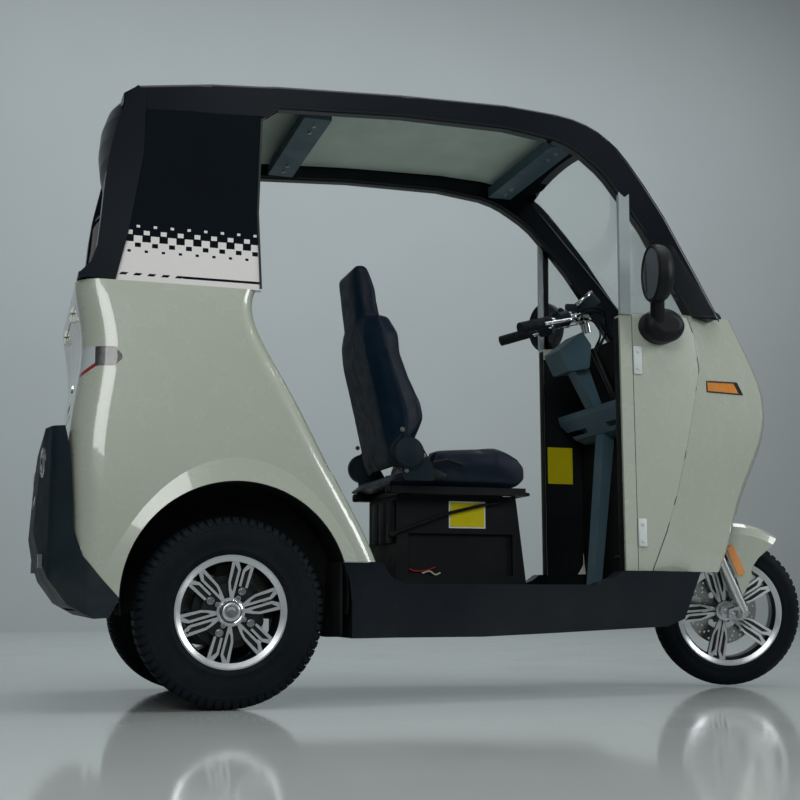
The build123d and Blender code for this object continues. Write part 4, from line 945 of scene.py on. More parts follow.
# Finish of every node that stays as it is
NODE_FINISH = {
    "cream": ["rear_body_right", "rear_body_left", "tail_panel", "bench_base", "trunk_lid",
              "front_side_panels", "nose_panel", "front_fender"],
    "black": ["roof_panel", "roof_rails", "rear_pillars", "rear_visor", "headlamp"],
    "inside": ["leg_shield", "seat_box"],
    "print": ["quarter_panels"],
    "sill": ["floor_pan"],
    "plastic": ["rear_bumper", "seat_recliner", "switch_pods"],
    "grey": ["dash_tray", "column_shroud", "roof_straps"],
    "frame": ["chassis_frame", "rear_subframe", "front_frame", "seat_slides", "rear_springs"],
    "machinery": ["rear_axle"],
    "battery": ["battery_pack"],
    "front_alloy": ["front_rim"],
    "rear_alloy_right": ["rear_rim_right"],
    "rear_alloy_left": ["rear_rim_left"],
    "fork": ["fork"],
    "post": ["side_posts"],
    "steel": ["brake_disc"],
    "chrome": ["handlebar"],
    "grip": ["grips"],
    "glass": ["windscreen", "side_glass"],
    "tinted": ["rear_window"],
    "tail": ["tail_lamps"],
    "amber": ["side_markers", "fork_reflectors"],
    "reflector": ["rear_reflectors"],
    "shell": ["mirrors"],
}


# Stage and camera

CAMERA_PLACE = (-1.2636, -3.611, 0.271)
# Small ceiling lamps: x and y on the floor plan
CEILING_SPOTS = [(-1.6, -1.9), (-0.6, -2.3), (0.5, -2.0), (1.5, -2.4), (2.4, -1.4), (-2.4, -0.9)]
SPOT_HEIGHT = 3.4
FLOOR_LEVEL = -0.0012
# Area lamps: place, target, size, power
AREA_LAMPS = {
    "CeilingLight": ((0.2, -0.6, 4.6), (0, 0, 0.6), (5.0, 3.0), 130),
    "SideLight": ((-2.6, -5.2, 3.2), (0, 0, 0.8), (3.6, 2.4), 140),
    "FrontLight": ((4.6, -2.8, 2.6), (0.6, 0, 0.8), (2.4, 2.0), 120),
    "RearLight": ((0.6, 2.6, 4.4), (0, 3.4, 0), (7.0, 2.0), 25),
}


def area_lamp(name, place, target, size, energy):
    lamp = bpy.data.lights.new(name, "AREA")
    lamp.energy = energy
    lamp.shape = "RECTANGLE"
    lamp.size, lamp.size_y = size
    obj = bpy.data.objects.new(name, lamp)
    obj.location = place
    obj.rotation_euler = (Vector(target) - Vector(place)).to_track_quat("-Z", "Y").to_euler()
    bpy.context.scene.collection.objects.link(obj)


def spot_lamp(name, place, energy, radius):
    lamp = bpy.data.lights.new(name, "POINT")
    lamp.energy = energy
    lamp.shadow_soft_size = radius
    obj = bpy.data.objects.new(name, lamp)
    obj.location = place
    bpy.context.scene.collection.objects.link(obj)


def stage_finish(name, tone, roughness):
    made = Finish(name)
    made.set("Base Color", made.mix(made.spread(made.noise(0.8), 0.3, 0.7), darker(tone, 0.96), tone))
    made.set("Roughness", made.spread(made.noise(3.0), 0.3, 0.7, roughness, roughness + 0.05))
    made.bump(made.noise(1.4, 2.0), 0.0008)
    return made.material


def build_stage(sizes):
    """Floor, backdrop, world light and lamps."""
    half = sizes.half
    floor = bmesh.new()
    corners = [(-half, -half), (half, -half), (half, sizes.wall_y), (-half, sizes.wall_y)]
    floor.faces.new([floor.verts.new((x, y, FLOOR_LEVEL)) for x, y in corners])
    ground = link("StageFloor", mesh_of("StageFloor", floor))
    ground.data.materials.append(stage_finish("PaleFloor", tuple(sizes.floor), 0.06))
    wall = bmesh.new()
    wall.faces.new([wall.verts.new(p) for p in ((-half, sizes.wall_y, -0.1), (half, sizes.wall_y, -0.1),
                                                (half, sizes.wall_y, half), (-half, sizes.wall_y, half))])
    backdrop = link("StageBackdrop", mesh_of("StageBackdrop", wall))
    backdrop.data.materials.append(stage_finish("PaleBackdrop", tuple(sizes.wall), 0.8))
    world = bpy.data.worlds.new("SoftRoom")
    bpy.context.scene.world = world
    world.use_nodes = True
    background = world.node_tree.nodes["Background"]
    background.inputs["Color"].default_value = (*shade(206, 214, 220), 1)
    background.inputs["Strength"].default_value = 0.17
    for name, values in AREA_LAMPS.items():
        area_lamp(name, *values)
    area_lamp("WallLight", (1.4, sizes.wall_y - 3.6, 6.0), (1.4, sizes.wall_y, 0.4), (12.0, 2.0), 280)
    for index, (x, y) in enumerate(CEILING_SPOTS):
        spot_lamp(f"CeilingSpot{index}", (x, y, SPOT_HEIGHT), 3.0, 0.035)


def build_camera(sizes):
    """Camera at the photograph's angle."""
    azimuth, elevation = sizes.azimuth, sizes.elevation
    ahead = Vector((math.sin(azimuth) * math.cos(elevation), math.cos(azimuth) * math.cos(elevation),
                    math.sin(elevation)))
    data = bpy.data.cameras.new("Camera")
    data.lens = sizes.lens
    data.sensor_width = 36
    camera = bpy.data.objects.new("Camera", data)
    camera.location = CAMERA_PLACE
    camera.rotation_euler = ahead.to_track_quat("-Z", "Y").to_euler()
    bpy.context.scene.collection.objects.link(camera)
    bpy.context.scene.camera = camera
    bpy.context.scene.view_settings.view_transform = "Standard"


# Tyres

# Half of a rear tyre's section from the bead to the crown: radius and distance from the middle
REAR_SECTION = [
    (137, 38), (142.6, 44), (143, 50.5), (147, 52.6), (152, 54.2), (154, 55.6), (157, 55.6), (159, 54.8),
    (174, 57.4), (190, 58.7), (203, 58.0), (209, 57.0), (211, 57.4), (214, 57.0), (222, 53.6), (228, 49.0),
    (232, 42), (233.6, 30), (234.2, 12),
]
FRONT_SECTION = [
    (161, 30), (166.6, 35), (167, 40.5), (170, 41.4), (174, 41.6), (176, 42.6), (178.5, 42.6), (180, 42.0),
    (192, 43.8), (203, 43.9), (211, 41.6), (218, 36.5), (223.5, 28), (227, 17), (228.6, 7),
]


# Section of a middle block of the rear tread: distance from the middle and radius
MIDDLE_BLOCK = [(14, 238.9), (34, 238.6), (34, 232.5), (14, 233)]


def carcass(section, steps):
    """The tyre without its tread."""
    whole = [(r * MM, y * MM) for r, y in section]
    return lathe(whole + [(r, -y) for r, y in reversed(whole)], steps)


def tread_block(section, start, end, skew=0.0):
    """One block: a section of (y, radius) swept from one angle to another, in millimetres along the crown."""
    crown = max(r for _, r in section)

    def at(y, r, arc):
        angle = (arc + skew * y) / crown
        return r * math.sin(angle) * MM, y * MM, r * math.cos(angle) * MM
    return prism([at(y, r, start) for y, r in section], [at(y, r, end) for y, r in section], 0.7 * MM, 1)


def rear_pitch():
    """One pitch of the rear tread: a lug on each shoulder and three rows of blocks between."""
    shoulder = [(38, 238.4), (46, 237.2), (51.5, 233.4), (55.8, 226), (57.6, 217), (54.5, 217), (50, 226),
                (44, 231.5), (38, 232.5)]
    parts = []
    for side in (-1, 1):
        parts.append(tread_block([(side * y, r) for y, r in shoulder], -7.6, 7.6, side * 0.12))
        parts.append(tread_block([(side * y, r) for y, r in MIDDLE_BLOCK],
                                 -8.2, 8.2, side * 0.3))
    parts.append(tread_block([(-10, 238.9), (10, 238.9), (10, 233.4), (-10, 233.4)], -1.4, 15.0, 0.25))
    return joined(*parts)


def front_pitch():
    """One pitch of the front tread: slanted blocks that run down to the shoulder."""
    outer = [(15, 231.6), (24, 228.6), (32, 222.6), (38.4, 214.6), (41.6, 207), (39, 207), (34, 214),
             (28, 220), (20, 225), (14, 226)]
    parts = []
    for side in (-1, 1):
        parts.append(tread_block([(side * y, r) for y, r in outer], -7.4, 7.4, side * -0.42))
    parts.append(tread_block([(-11, 232.2), (0, 232.8), (11, 232.2), (11, 227), (-11, 227)], -10.6, 6.4,
                             0.35))
    return joined(*parts)


class CAR_OT_tyres(bpy.types.Operator):
    """Tyres with their treads, in place of the plain ones"""
    bl_idname = "car.tyres"
    bl_label = "Tyres"

    def execute(self, context):
        sizes = context.scene.car_tyres
        for side in SIDES:
            obj = ring_of(f"rear_tread_{side}", carcass(REAR_SECTION, sizes.segments), rear_pitch(),
                          sizes.rear_blocks, FINISHES["rubber"], rear_wheel_space(side))
            dress(obj, None, f"rear_wheel_{side}", [f"rear_tyre_{side}"])
        obj = ring_of("front_tread", carcass(FRONT_SECTION, sizes.segments), front_pitch(),
                      sizes.front_blocks, FINISHES["rubber"], FRONT_WHEEL)
        dress(obj, None, "front_wheel", ["front_tyre"])
        return {"FINISHED"}


class CAR_OT_finishes(bpy.types.Operator):
    """Finish of every piece that comes from the frame"""
    bl_idname = "car.finishes"
    bl_label = "Finishes"

    def execute(self, context):
        make_finishes(context.scene.car_colours, context.scene.car_print)
        for key, nodes in NODE_FINISH.items():
            for name in nodes:
                slots = frame["nodes"][name].data.materials
                slots.clear()
                slots.append(FINISHES[key])
        return {"FINISHED"}


class CAR_OT_stage(bpy.types.Operator):
    """Floor, backdrop, lamps and camera"""
    bl_idname = "car.stage"
    bl_label = "Stage"

    def execute(self, context):
        build_stage(context.scene.car_stage)
        build_camera(context.scene.car_stage)
        return {"FINISHED"}


# Body trim

ARCH_CENTRE = (10, 277)
LINER_PROFILE = [(286.8, 451), (286.8, 293.4), (140, 293.4), (140, 294.6), (285.6, 294.6), (285.6, 451)]
# Degrees from straight ahead, counted upwards
LINER_ARC = (-9, 189)
# Plate between the arch and the sill's rear end: x, y on the left, z
ARCH_SHIELD = ((274, 282), (236, 445), (176, 366))
# Seam between the front side panels and the nose, in the side view
NOSE_SEAM = [
    (1252, 352), (1303, 468), (1338, 570), (1370, 684), (1402, 815), (1432, 957), (1420, 1060),
    (1401, 1112),
]
MARKER = [(1466, 924), (1468, 893), (1638, 903), (1612, 937)]
MARKER_END = [(1612, 937), (1638, 903), (1622, 902), (1596, 936)]
# Turn of each mirror's glass and its distance from the middle
MIRROR_HEADS = {"right": (math.radians(4), 391), "left": (math.radians(28), 386.7)}
QUARTER_EDGE = [(71, 1084), (63, 1300), (75, 1586)]
HINGES = [(421, 502), (928, 1012)]


def arch_liners():
    """Black inner arches over the rear wheels."""
    for side, way in SIDES.items():
        liner = arc_strip(LINER_PROFILE, ARCH_CENTRE, LINER_ARC, 44, way)
        shield = block(ARCH_SHIELD[0], sorted(way * y for y in ARCH_SHIELD[1]), ARCH_SHIELD[2], 1)
        piece(f"arch_liner_{side}", joined(liner, shield), FINISHES["liner"], "body")


def roof_lining():
    """Pale lining under the roof skin, and the bolts of its straps."""
    hit = surface("roof_panel")
    grid = []
    for step in range(27):
        x = -222 + (1046 + 222) * step / 26
        row = [hit(car(x, -270 + 540 * k / 12, 1500), Vector((0, 0, 1)))[0] for k in range(13)]
        grid.append([place - Vector((0, 0, 0.002)) for place in row])
    piece("roof_lining", lofted_sheet(grid, 0.003), FINISHES["lining"], "body")
    spots = [(car(x, y, z), Vector((0, 0, -1))) for x, z in ((250, 1620), (1010, 1618))
             for y in (-205, -150, 150, 205)]
    dress(on_spots("strap_bolts", spots, screw_head(0.006), FINISHES["bolt"]), None, "body")


def panel_lines(sizes):
    """Seams, edge trims and hinge covers of both sides."""
    front = surface("front_side_panels", "nose_panel")
    seam = side_line(NOSE_SEAM, front, 1.2, 0.0003)
    piece("nose_seams", joined(seam, mirrored(seam)), FINISHES["seam"], "body")
    groove = side_line([(1204, 306), (1204, 1108)], front, 0.9)
    piece("door_post_grooves", joined(groove, mirrored(groove)), FINISHES["seam"], "body")
    quarter = surface("quarter_panels")
    edge = side_line(QUARTER_EDGE, quarter, 3.2, 0.001)
    piece("quarter_edges", joined(edge, mirrored(edge)), FINISHES["trim"], "body")
    covers, spots = [], []
    for low, high in HINGES:
        place = front(car(1218, -700, (low + high) / 2), Vector((0, 1, 0)))[0].y / MM
        cover = block((1206, 1233), (place - 5, place + 1), (low, high), 2)
        covers += [cover, mirrored(cover)]
        for z in (low + 16, high - 16):
            spots += [(car(1219.5, side * (5 - place), z), Vector((0, side, 0))) for side in (-1, 1)]
    seal = block((1160.5, 1165), (262, 288), (306, 1098), 1.5)
    piece("door_opening_seals", joined(seal, mirrored(seal)), FINISHES["cable"], "body")
    piece("hinge_covers", joined(*covers), FINISHES["white_cover"], "body")
    dress(on_spots("hinge_screws", spots, screw_head(sizes.screw, 12), FINISHES["white_cover"]), None, "body")


def marker_trim():
    """Rims and dark ends of the side markers."""
    hit = surface("side_markers", "nose_panel")
    rim = side_line(MARKER, hit, 2.4, 0.0006, True)
    piece("marker_rims", joined(rim, mirrored(rim)), FINISHES["trim"], "body")
    inner = [hit(car(x, -700, z), Vector((0, 1, 0)))[0] for x, z in MARKER_END]
    out = Vector((0, -0.0012, 0))
    end = prism([p - out for p in inner], [p + out for p in inner])
    piece("marker_ends", joined(end, mirrored(end)), FINISHES["plastic"], "body")


def mirror_glasses():
    """Glass and rim of each mirror."""
    for side, (turn, head_y) in MIRROR_HEADS.items():
        lean, reach = math.sin(turn), math.cos(turn)

        def ring(half_width, half_height, depth):
            places = []
            for step in range(64):
                angle = 2 * math.pi * step / 64
                along = half_width * math.cos(angle)
                places.append(car(1222 + lean * along - reach * depth,
                                  SIDES[side] * (head_y - reach * along - lean * depth),
                                  1212 + half_height * math.sin(angle)))
            return places
        # The glass takes the mirror finish, whose dark grey is a painted dark reflection
        piece(f"mirror_glass_{side}", prism(ring(57, 76, -0.5), ring(56, 75, 2.2)), FINISHES["mirror"],
              "body")
        piece(f"mirror_rim_{side}", tube(ring(60.5, 80, 1.2), 4.2 * MM, 10, True), FINISHES["shell"], "body")


# Wiper blade: y and z seen from ahead
WIPER_BLADE = [(-150, 1190), (-60, 1178), (60, 1180), (150, 1196)]


def wiper():
    """Blade, arm and hub of the wiper."""
    hit = surface("windscreen")
    path = laid([Vector((1.2, y * MM, z * MM)) for y, z in WIPER_BLADE], hit,
                (-1, 0, 0), 0.008)
    blade = tube(path, 3.4 * MM, 8)
    arm = tube([car(1588, -120, 1152), car(1580, -60, 1172), path[len(path) // 2] + Vector((0.01, 0, 0))],
               5 * MM, 10)
    hub = rod(car(1572, -122, 1140), car(1600, -122, 1168), 19 * MM, 24, 3 * MM)
    piece("wiper", joined(blade, arm, hub), FINISHES["plastic"], "body")


class CAR_OT_body(bpy.types.Operator):
    """Liners, lining, seams, hinge covers, lamps' rims, mirror glasses and wiper"""
    bl_idname = "car.body"
    bl_label = "Body trim"

    def execute(self, context):
        arch_liners()
        roof_lining()
        panel_lines(context.scene.car_trim)
        marker_trim()
        mirror_glasses()
        wiper()
        return {"FINISHED"}


# Wheels

NUT_CIRCLE = 58
NUT_TURN = 61.5
VALVE_TURN = 205
# Radius and depth along the axle
HUB_RING = [(26, 43.5), (31, 43.5), (31, 45.5), (28.5, 47), (26, 46)]
HUB_CAP = [(0.5, 52), (15, 52), (17, 53.6), (14, 54.2), (11, 53.4), (0.5, 53.8)]
COIL_TURNS = 8
COIL_STEPS = 24
COIL_RADIUS = 31
COIL_FOOT = Vector((-50, 0, 312))
COIL_HEAD = Vector((-93, 0, 530))


def turned_part(profile, steps):
    """A ring turned about Y from a profile of (radius, y) in millimetres."""
    return lathe([(r * MM, y * MM) for r, y in profile], steps)


def on_circle(space, radius, depth, degrees):
    """A place on a wheel, counted from forward and upwards."""
    angle = math.radians(degrees)
    return space @ (Vector((radius * math.cos(angle), depth, radius * math.sin(angle))) * MM)


def coil_path(side):
    """Points along a rear spring."""
    path = []
    for step in range(COIL_TURNS * COIL_STEPS + 1):
        angle = 2 * math.pi * step / COIL_STEPS
        middle = COIL_FOOT.lerp(COIL_HEAD, step / (COIL_TURNS * COIL_STEPS))
        path.append(car(middle.x + COIL_RADIUS * math.cos(angle), side * 232 + COIL_RADIUS * math.sin(angle),
                        middle.z))
    return path


class CAR_OT_wheels(bpy.types.Operator):
    """Nuts, caps and valves of the wheels, disc bolts and the rear coils"""
    bl_idname = "car.wheels"
    bl_label = "Wheel fittings"

    def execute(self, context):
        for side, way in SIDES.items():
            space = rear_wheel_space(side)
            body = f"rear_wheel_{side}"
            outward = Vector((0, way, 0))
            spots = [(on_circle(space, NUT_CIRCLE, 41, NUT_TURN + 90 * k), outward) for k in range(4)]
            dress(on_spots(f"wheel_nuts_{side}", spots, screw_head(0.0085), FINISHES["chrome"]), None, body)
            studs = [(on_circle(space, 38, 44, NUT_TURN + 90 * k), outward) for k in range(4)]
            dress(on_spots(f"hub_screws_{side}", studs, screw_head(0.0046), FINISHES["bolt"]), None, body)
            ring = turned_part(HUB_RING, 64)
            cap = turned_part(HUB_CAP, 48)
            piece(f"hub_cap_{side}", moved(joined(ring, cap), space), FINISHES["chrome"], body)
            valve = rod(on_circle(space, 121, 20, VALVE_TURN), on_circle(space, 118, 46, VALVE_TURN),
                        3.2 * MM, 12, 0.5 * MM)
            piece(f"wheel_valve_{side}", valve, FINISHES["grip"], body)
        turned = FRONT_WHEEL.to_3x3()
        spots = [(on_circle(FRONT_WHEEL, 42, 48, 60 * k), turned @ Vector((0, 1, 0))) for k in range(6)]
        dress(on_spots("disc_bolts", spots, screw_head(0.005), FINISHES["bolt"]), None, "front_wheel")
        spots = [(axle(12, side * 98, 0), turned @ Vector((0, side, 0))) for side in (-1, 1)]
        dress(on_spots("axle_nuts", spots, screw_head(0.009), FINISHES["bolt"]), None, "steering")
        piece("rear_coils", joined(*[tube(coil_path(side), 4.6 * MM, 8) for side in (-1, 1)]),
              FINISHES["trim"], "body")
        return {"FINISHED"}


# Seats

# Driver's seat back: height, x and half width at the rear face, x at the front and largest half width
BACK_ROWS = [
    (638, 516, 128, 532, 188), (704, 502, 130, 550, 216), (782, 485, 132, 582, 216),
    (829, 475, 132, 572, 216), (905, 457, 132, 538, 216), (973, 440, 132, 515, 214),
    (1034, 431, 130, 511, 204), (1090, 424, 124, 492, 178),
]
HEAD_ROWS = [
    (1076, 424, 112, 478, 128), (1132, 419, 114, 468, 122), (1190, 412, 106, 460, 118),
    (1258, 402, 100, 440, 110),
]
CUSHION = [
    (470, 598), (872, 598), (892, 616), (891, 648), (872, 674), (808, 697), (612, 682), (602, 634),
    (470, 606),
]
BENCH_CUSHION = [(-228, 598), (176, 598), (188, 640), (173, 682), (-228, 669)]
# How far the piping sinks into a cover
SUNK = -0.5 * MM
BENCH_BACK = [(-244, 702), (-168, 705), (-222, 1034), (-252, 1052), (-322, 1052), (-322, 1004)]


def padding(name, bm, sizes):
    """A closed shape as an even grid, pushed out by its filling and smoothed."""
    obj = link(name, mesh_of(name, bm))
    grid = obj.modifiers.new("Grid", "REMESH")
    grid.mode = "VOXEL"
    grid.voxel_size = sizes.voxel
    obj = link(name, baked(obj, name))
    if sizes.simulate:
        press_out(obj, sizes)
    soft = obj.modifiers.new("Soft", "SMOOTH")
    soft.factor, soft.iterations = 0.5, 4
    fine = obj.modifiers.new("Fine", "SUBSURF")
    fine.levels = 1
    mesh = baked(obj, name)
    mesh.shade_smooth()
    return link(name, mesh)


def press_out(obj, sizes):
    """Fill a grid by cloth simulation, and hold every point within the swell."""
    rest = [vertex.co.copy() for vertex in obj.data.vertices]
    filling = obj.modifiers.new("Filling", "CLOTH")
    cloth = filling.settings
    cloth.quality = 4
    cloth.mass = 0.4
    cloth.tension_stiffness = cloth.compression_stiffness = 25
    cloth.use_pressure = True
    cloth.uniform_pressure_force = sizes.pressure
    cloth.effector_weights.gravity = 0
    filling.point_cache.frame_end = 20
    scene = bpy.context.scene
    for number in range(1, 21):
        scene.frame_set(number)
    graph = bpy.context.evaluated_depsgraph_get()
    filled = obj.evaluated_get(graph).data
    for vertex, start, end in zip(obj.data.vertices, rest, [v.co.copy() for v in filled.vertices]):
        way = end - start
        vertex.co = start + way * min(1.0, sizes.swell / max(way.length, 1e-9))
    obj.modifiers.remove(filling)
    scene.frame_set(1)


def segment(outline, low, high, drop=0.0, bevel=18):
    """A bevelled part of a cushion between two values of Y."""
    top = max(z for _, z in outline)
    lowered = [(x, z - drop if z > top - 60 else z) for x, z in outline]
    return side_plate(lowered, low, high, bevel, 3)


def upholster(name, bm, sizes, node, shell=False):
    """A padded seat piece in place of its node, with its back in the shell's cover."""
    obj = padding(name, bm, sizes)
    dress(obj, FINISHES["seat"], "body", [node])
    if shell:
        obj.data.materials.append(FINISHES["seat_shell"])
        for face in obj.data.polygons:
            face.material_index = 1 if face.normal.x < -0.62 else 0
    tree = BVHTree.FromObject(obj, bpy.context.evaluated_depsgraph_get())
    return lambda start, way: tree.ray_cast(start, way)[:2]


def back_half(rows, inner):
    """Rings of a side bolster of the seat back, on the left."""
    rings = []
    for z, x_rear, half_rear, x_front, half_front in rows:
        x_side = x_rear + (x_front - x_rear) * 0.45
        outline = [(x_rear, inner), (x_rear, half_rear), (x_side, half_front), (x_front, half_front - 24),
                   (x_front, inner)]
        rings.append([car(x, y, z) for x, y in outline])
    return rings


def middle_rings(rows, half, drop):
    """Rings of the seat back's middle."""
    rings = []
    for z, x_rear, _, x_front, _ in rows:
        front = x_front - drop
        corners = ((x_rear, -half), (x_rear, half), (front, half), (front, -half))
        rings.append([car(x, y, z) for x, y in corners])
    return rings


def seat_lines(name, runs, sizes):
    """Piping along points that already lie on a seat."""
    piece(name, joined(*[tube(run, sizes.piping, 8) for run in runs if len(run) > 3]), FINISHES["seat_shell"],
          "body")


class CAR_OT_seats(bpy.types.Operator):
    """Driver's seat and rear bench as padded pieces with piping"""
    bl_idname = "car.seats"
    bl_label = "Seats"

    def execute(self, context):
        sizes = context.scene.car_seats
        cushion = joined(segment(CUSHION, -218, -142), segment(CUSHION, -148, 148, 9),
                         segment(CUSHION, 142, 218))
        top = upholster("driver_cushion", cushion, sizes, "seat_cushion")
        down = (0, 0, -1)
        runs = [laid([car(625, y, 900), car(880, y, 900)], top, down, SUNK) for y in (-145, 145)]
        runs.append(laid([car(700, -140, 900), car(700, 140, 900)], top, down, SUNK))
        seat_lines("driver_cushion_piping", runs, sizes)
        bolster = bevelled(ring_loft(back_half(BACK_ROWS, 112)), 0.012, 3)
        back = joined(bolster, mirrored(bolster),
                      bevelled(ring_loft(middle_rings(BACK_ROWS, 118, 8)), 0.008, 2),
                      bevelled(ring_loft([[car(x, y, z) for x, y in ((a, -b), (a, b), (c, d), (c, -d))]
                                          for z, a, b, c, d in HEAD_ROWS]), 0.014, 3))
        front = upholster("driver_back", back, sizes, "seat_back", True)
        behind = (-1, 0, 0)
        runs = [laid([car(760, y, 700), car(760, y, 1060)], front, behind, SUNK) for y in (-115, 115)]
        runs += [laid([car(760, -110, z), car(760, 110, z)], front, behind, SUNK) for z in (830, 1066)]
        seat_lines("driver_back_piping", runs, sizes)
        halves = joined(segment(BENCH_CUSHION, -324, 3, 0, 16), segment(BENCH_CUSHION, -3, 324, 0, 16))
        top = upholster("bench_cushion_padded", halves, sizes, "bench_cushion")
        runs = [laid([car(140, -310, 900), car(140, 310, 900)], top, down, SUNK)]
        runs += [laid([car(-150, y, 900), car(140, y, 900)], top, down, SUNK) for y in (-260, 260)]
        seat_lines("bench_cushion_piping", runs, sizes)
        halves = joined(segment(BENCH_BACK, -324, 3, 0, 12), segment(BENCH_BACK, -3, 324, 0, 12))
        front = upholster("bench_back_padded", halves, sizes, "bench_back")
        runs = [laid([car(100, y, 730), car(100, y, 1010)], front, behind, SUNK) for y in (-260, 260)]
        seat_lines("bench_back_piping", runs, sizes)
        return {"FINISHED"}


# Cabin

BOX_FACE = -140
RIBS = [(-128, -62), (-52, 14), (24, 85)]
BOX_LABEL = (683, 788, 478, 548)
WALL_LABEL = (1172, 1262, 650, 772)
BOX_CABLE = [(834, 549), (784, 542), (728, 529), (669, 514), (602, 489), (521, 460), (506, 452)]
RECLINER_BOLTS = [(508, 743), (572, 671), (520, 627)]
RECLINER_WIRE = [(506, 728), (480, 696), (476, 669), (500, 628)]
PEDAL_PAD = [(1246, 356), (1254, 362), (1224, 402), (1216, 396)]


def box_trim(sizes):
    """Ribs, labels, cable and loose wires of the seat box."""
    ribs = [block((512, 521), y, (430, 552), 3) for y in RIBS]
    piece("box_ribs", joined(*ribs), FINISHES["inside"], "body")
    low_x, high_x, low_z, high_z = BOX_LABEL
    border = block((low_x - 4, high_x + 4), (BOX_FACE - 0.8, BOX_FACE + 1), (low_z - 4, high_z + 4), 0.3, 1)
    piece("box_label_border", border, FINISHES["marks"], "body")
    label = block((low_x, high_x), (BOX_FACE - 1.6, BOX_FACE + 1), (low_z, high_z), 0.3, 1)
    low_x, high_x, low_z, high_z = WALL_LABEL
    other = block((low_x, high_x), (256.8, 258.5), (low_z, high_z), 0.3, 1)
    piece("blank_labels", joined(label, other), FINISHES["label"], "body")
    cable = tube(smooth_path([car(x, -150, z) for x, z in BOX_CABLE]), sizes.cable * 1.5, 10)
    knob = rod(car(512, -150, 456), car(496, -150, 448), 9 * MM, 20, 2 * MM)
    piece("box_cable", joined(cable, knob), FINISHES["cable"], "body")
    for name, points in {"wire_red": [(560, 356), (580, 350), (612, 352), (640, 362)],
                         "wire_white": [(600, 344), (622, 350), (640, 340), (655, 346)]}.items():
        path = smooth_path([car(x, -131, z) for x, z in points])
        piece("box_" + name, tube(path, 2.2 * MM, 8), FINISHES[name], "body")


def recliner_trim(sizes):
    """Covers, levers and bolts of the seat's recliner."""
    spots = [(car(x, side * 236, z), Vector((0, side, 0))) for x, z in RECLINER_BOLTS for side in (-1, 1)]
    dress(on_spots("recliner_bolts", spots, screw_head(sizes.screw * 1.3), FINISHES["bolt"]), None, "body")
    discs, rest = [], []
    for side in (-1, 1):
        discs.append(rod(car(524, side * 245, 677), car(524, side * 250, 677), 41 * MM, 48, 1.6 * MM))
        low, high = sorted((side * 227, side * 233))
        rest.append(side_plate([(556, 660), (641, 619), (636, 606), (560, 602)], low, high, 1.5))
        rest.append(tube([car(600, side * 231, 652), car(643, side * 233, 661), car(688, side * 236, 648)],
                         5 * MM, 10))
    rest.append(tube(smooth_path([car(x, -238, z) for x, z in RECLINER_WIRE]), 2.6 * MM, 8))
    piece("recliner_covers", joined(*discs), FINISHES["plastic"], "body")
    piece("recliner_brackets", joined(*rest), FINISHES["frame"], "body")
    ends = [rod(car(478, y, 579), car(492, y, 579), 12 * MM, 20, 2 * MM) for y in (-176, 176)]
    piece("slide_ends", joined(*ends), FINISHES["cable"], "body")


def floor_trim():
    """Black plates by the nose, floor mat and brake pedal."""
    kick = block((1240, 1292), (254, 257.8), (350, 420))
    piece("kick_plates", joined(kick, mirrored(kick)), FINISHES["inside"], "body")
    piece("floor_mat", block((930, 1136), (-256, 256), (300.5, 305), 1.6), FINISHES["mat"], "body")
    arm = tube([car(1296, -150, 470), car(1262, -150, 400), car(1236, -150, 372)], 7 * MM, 12)
    pad = side_plate(PEDAL_PAD, -184, -116, 2)
    piece("brake_pedal", joined(arm, pad), FINISHES["frame"], "body")


class CAR_OT_cabin(bpy.types.Operator):
    """Labels, ribs and cables of the seat box, recliner fittings, floor mat and pedal"""
    bl_idname = "car.cabin"
    bl_label = "Cabin trim"

    def execute(self, context):
        sizes = context.scene.car_trim
        box_trim(sizes)
        recliner_trim(sizes)
        floor_trim()
        return {"FINISHED"}


# Controls

def dial():
    """Bezel, face, marks and pointer of the speedometer."""
    place, start = bar(-12, 0, 84), bar(18, 0, 52)
    tick_face = ((-0.7, 34), (0.7, 34), (0.7, 41), (-0.7, 41))
    needle = ((-1.4, -6), (1.4, -6), (0.5, 30), (-0.5, 30))
    space = facing_space(place, (place - start).normalized())
    bezel = turned_part([(43, -4), (47, -4), (48, -1), (47, 3), (44, 4), (42.5, 1.5)], 72)
    piece("dial_bezel", moved(bezel, space), FINISHES["chrome"], "steering")
    face = turned_part([(0.4, 0.2), (43, 0.2), (43, 1.0), (0.4, 1.0)], 72)
    piece("dial_face", moved(face, space), FINISHES["dial"], "steering")
    tick = prism([(x * MM, 0.9 * MM, z * MM) for x, z in tick_face],
                 [(x * MM, 1.5 * MM, z * MM) for x, z in tick_face])
    hub = turned_part([(0.4, 0.9), (6, 0.9), (5, 3), (0.4, 3.2)], 32)
    marks = ring_of("dial_marks", hub, tick, 24, FINISHES["marks"], space)
    dress(marks, None, "steering")
    pointer = prism([(x * MM, 1.6 * MM, z * MM) for x, z in needle],
                    [(x * MM, 2.3 * MM, z * MM) for x, z in needle])
    piece("dial_pointer", moved(pointer, space), FINISHES["amber"], "steering")


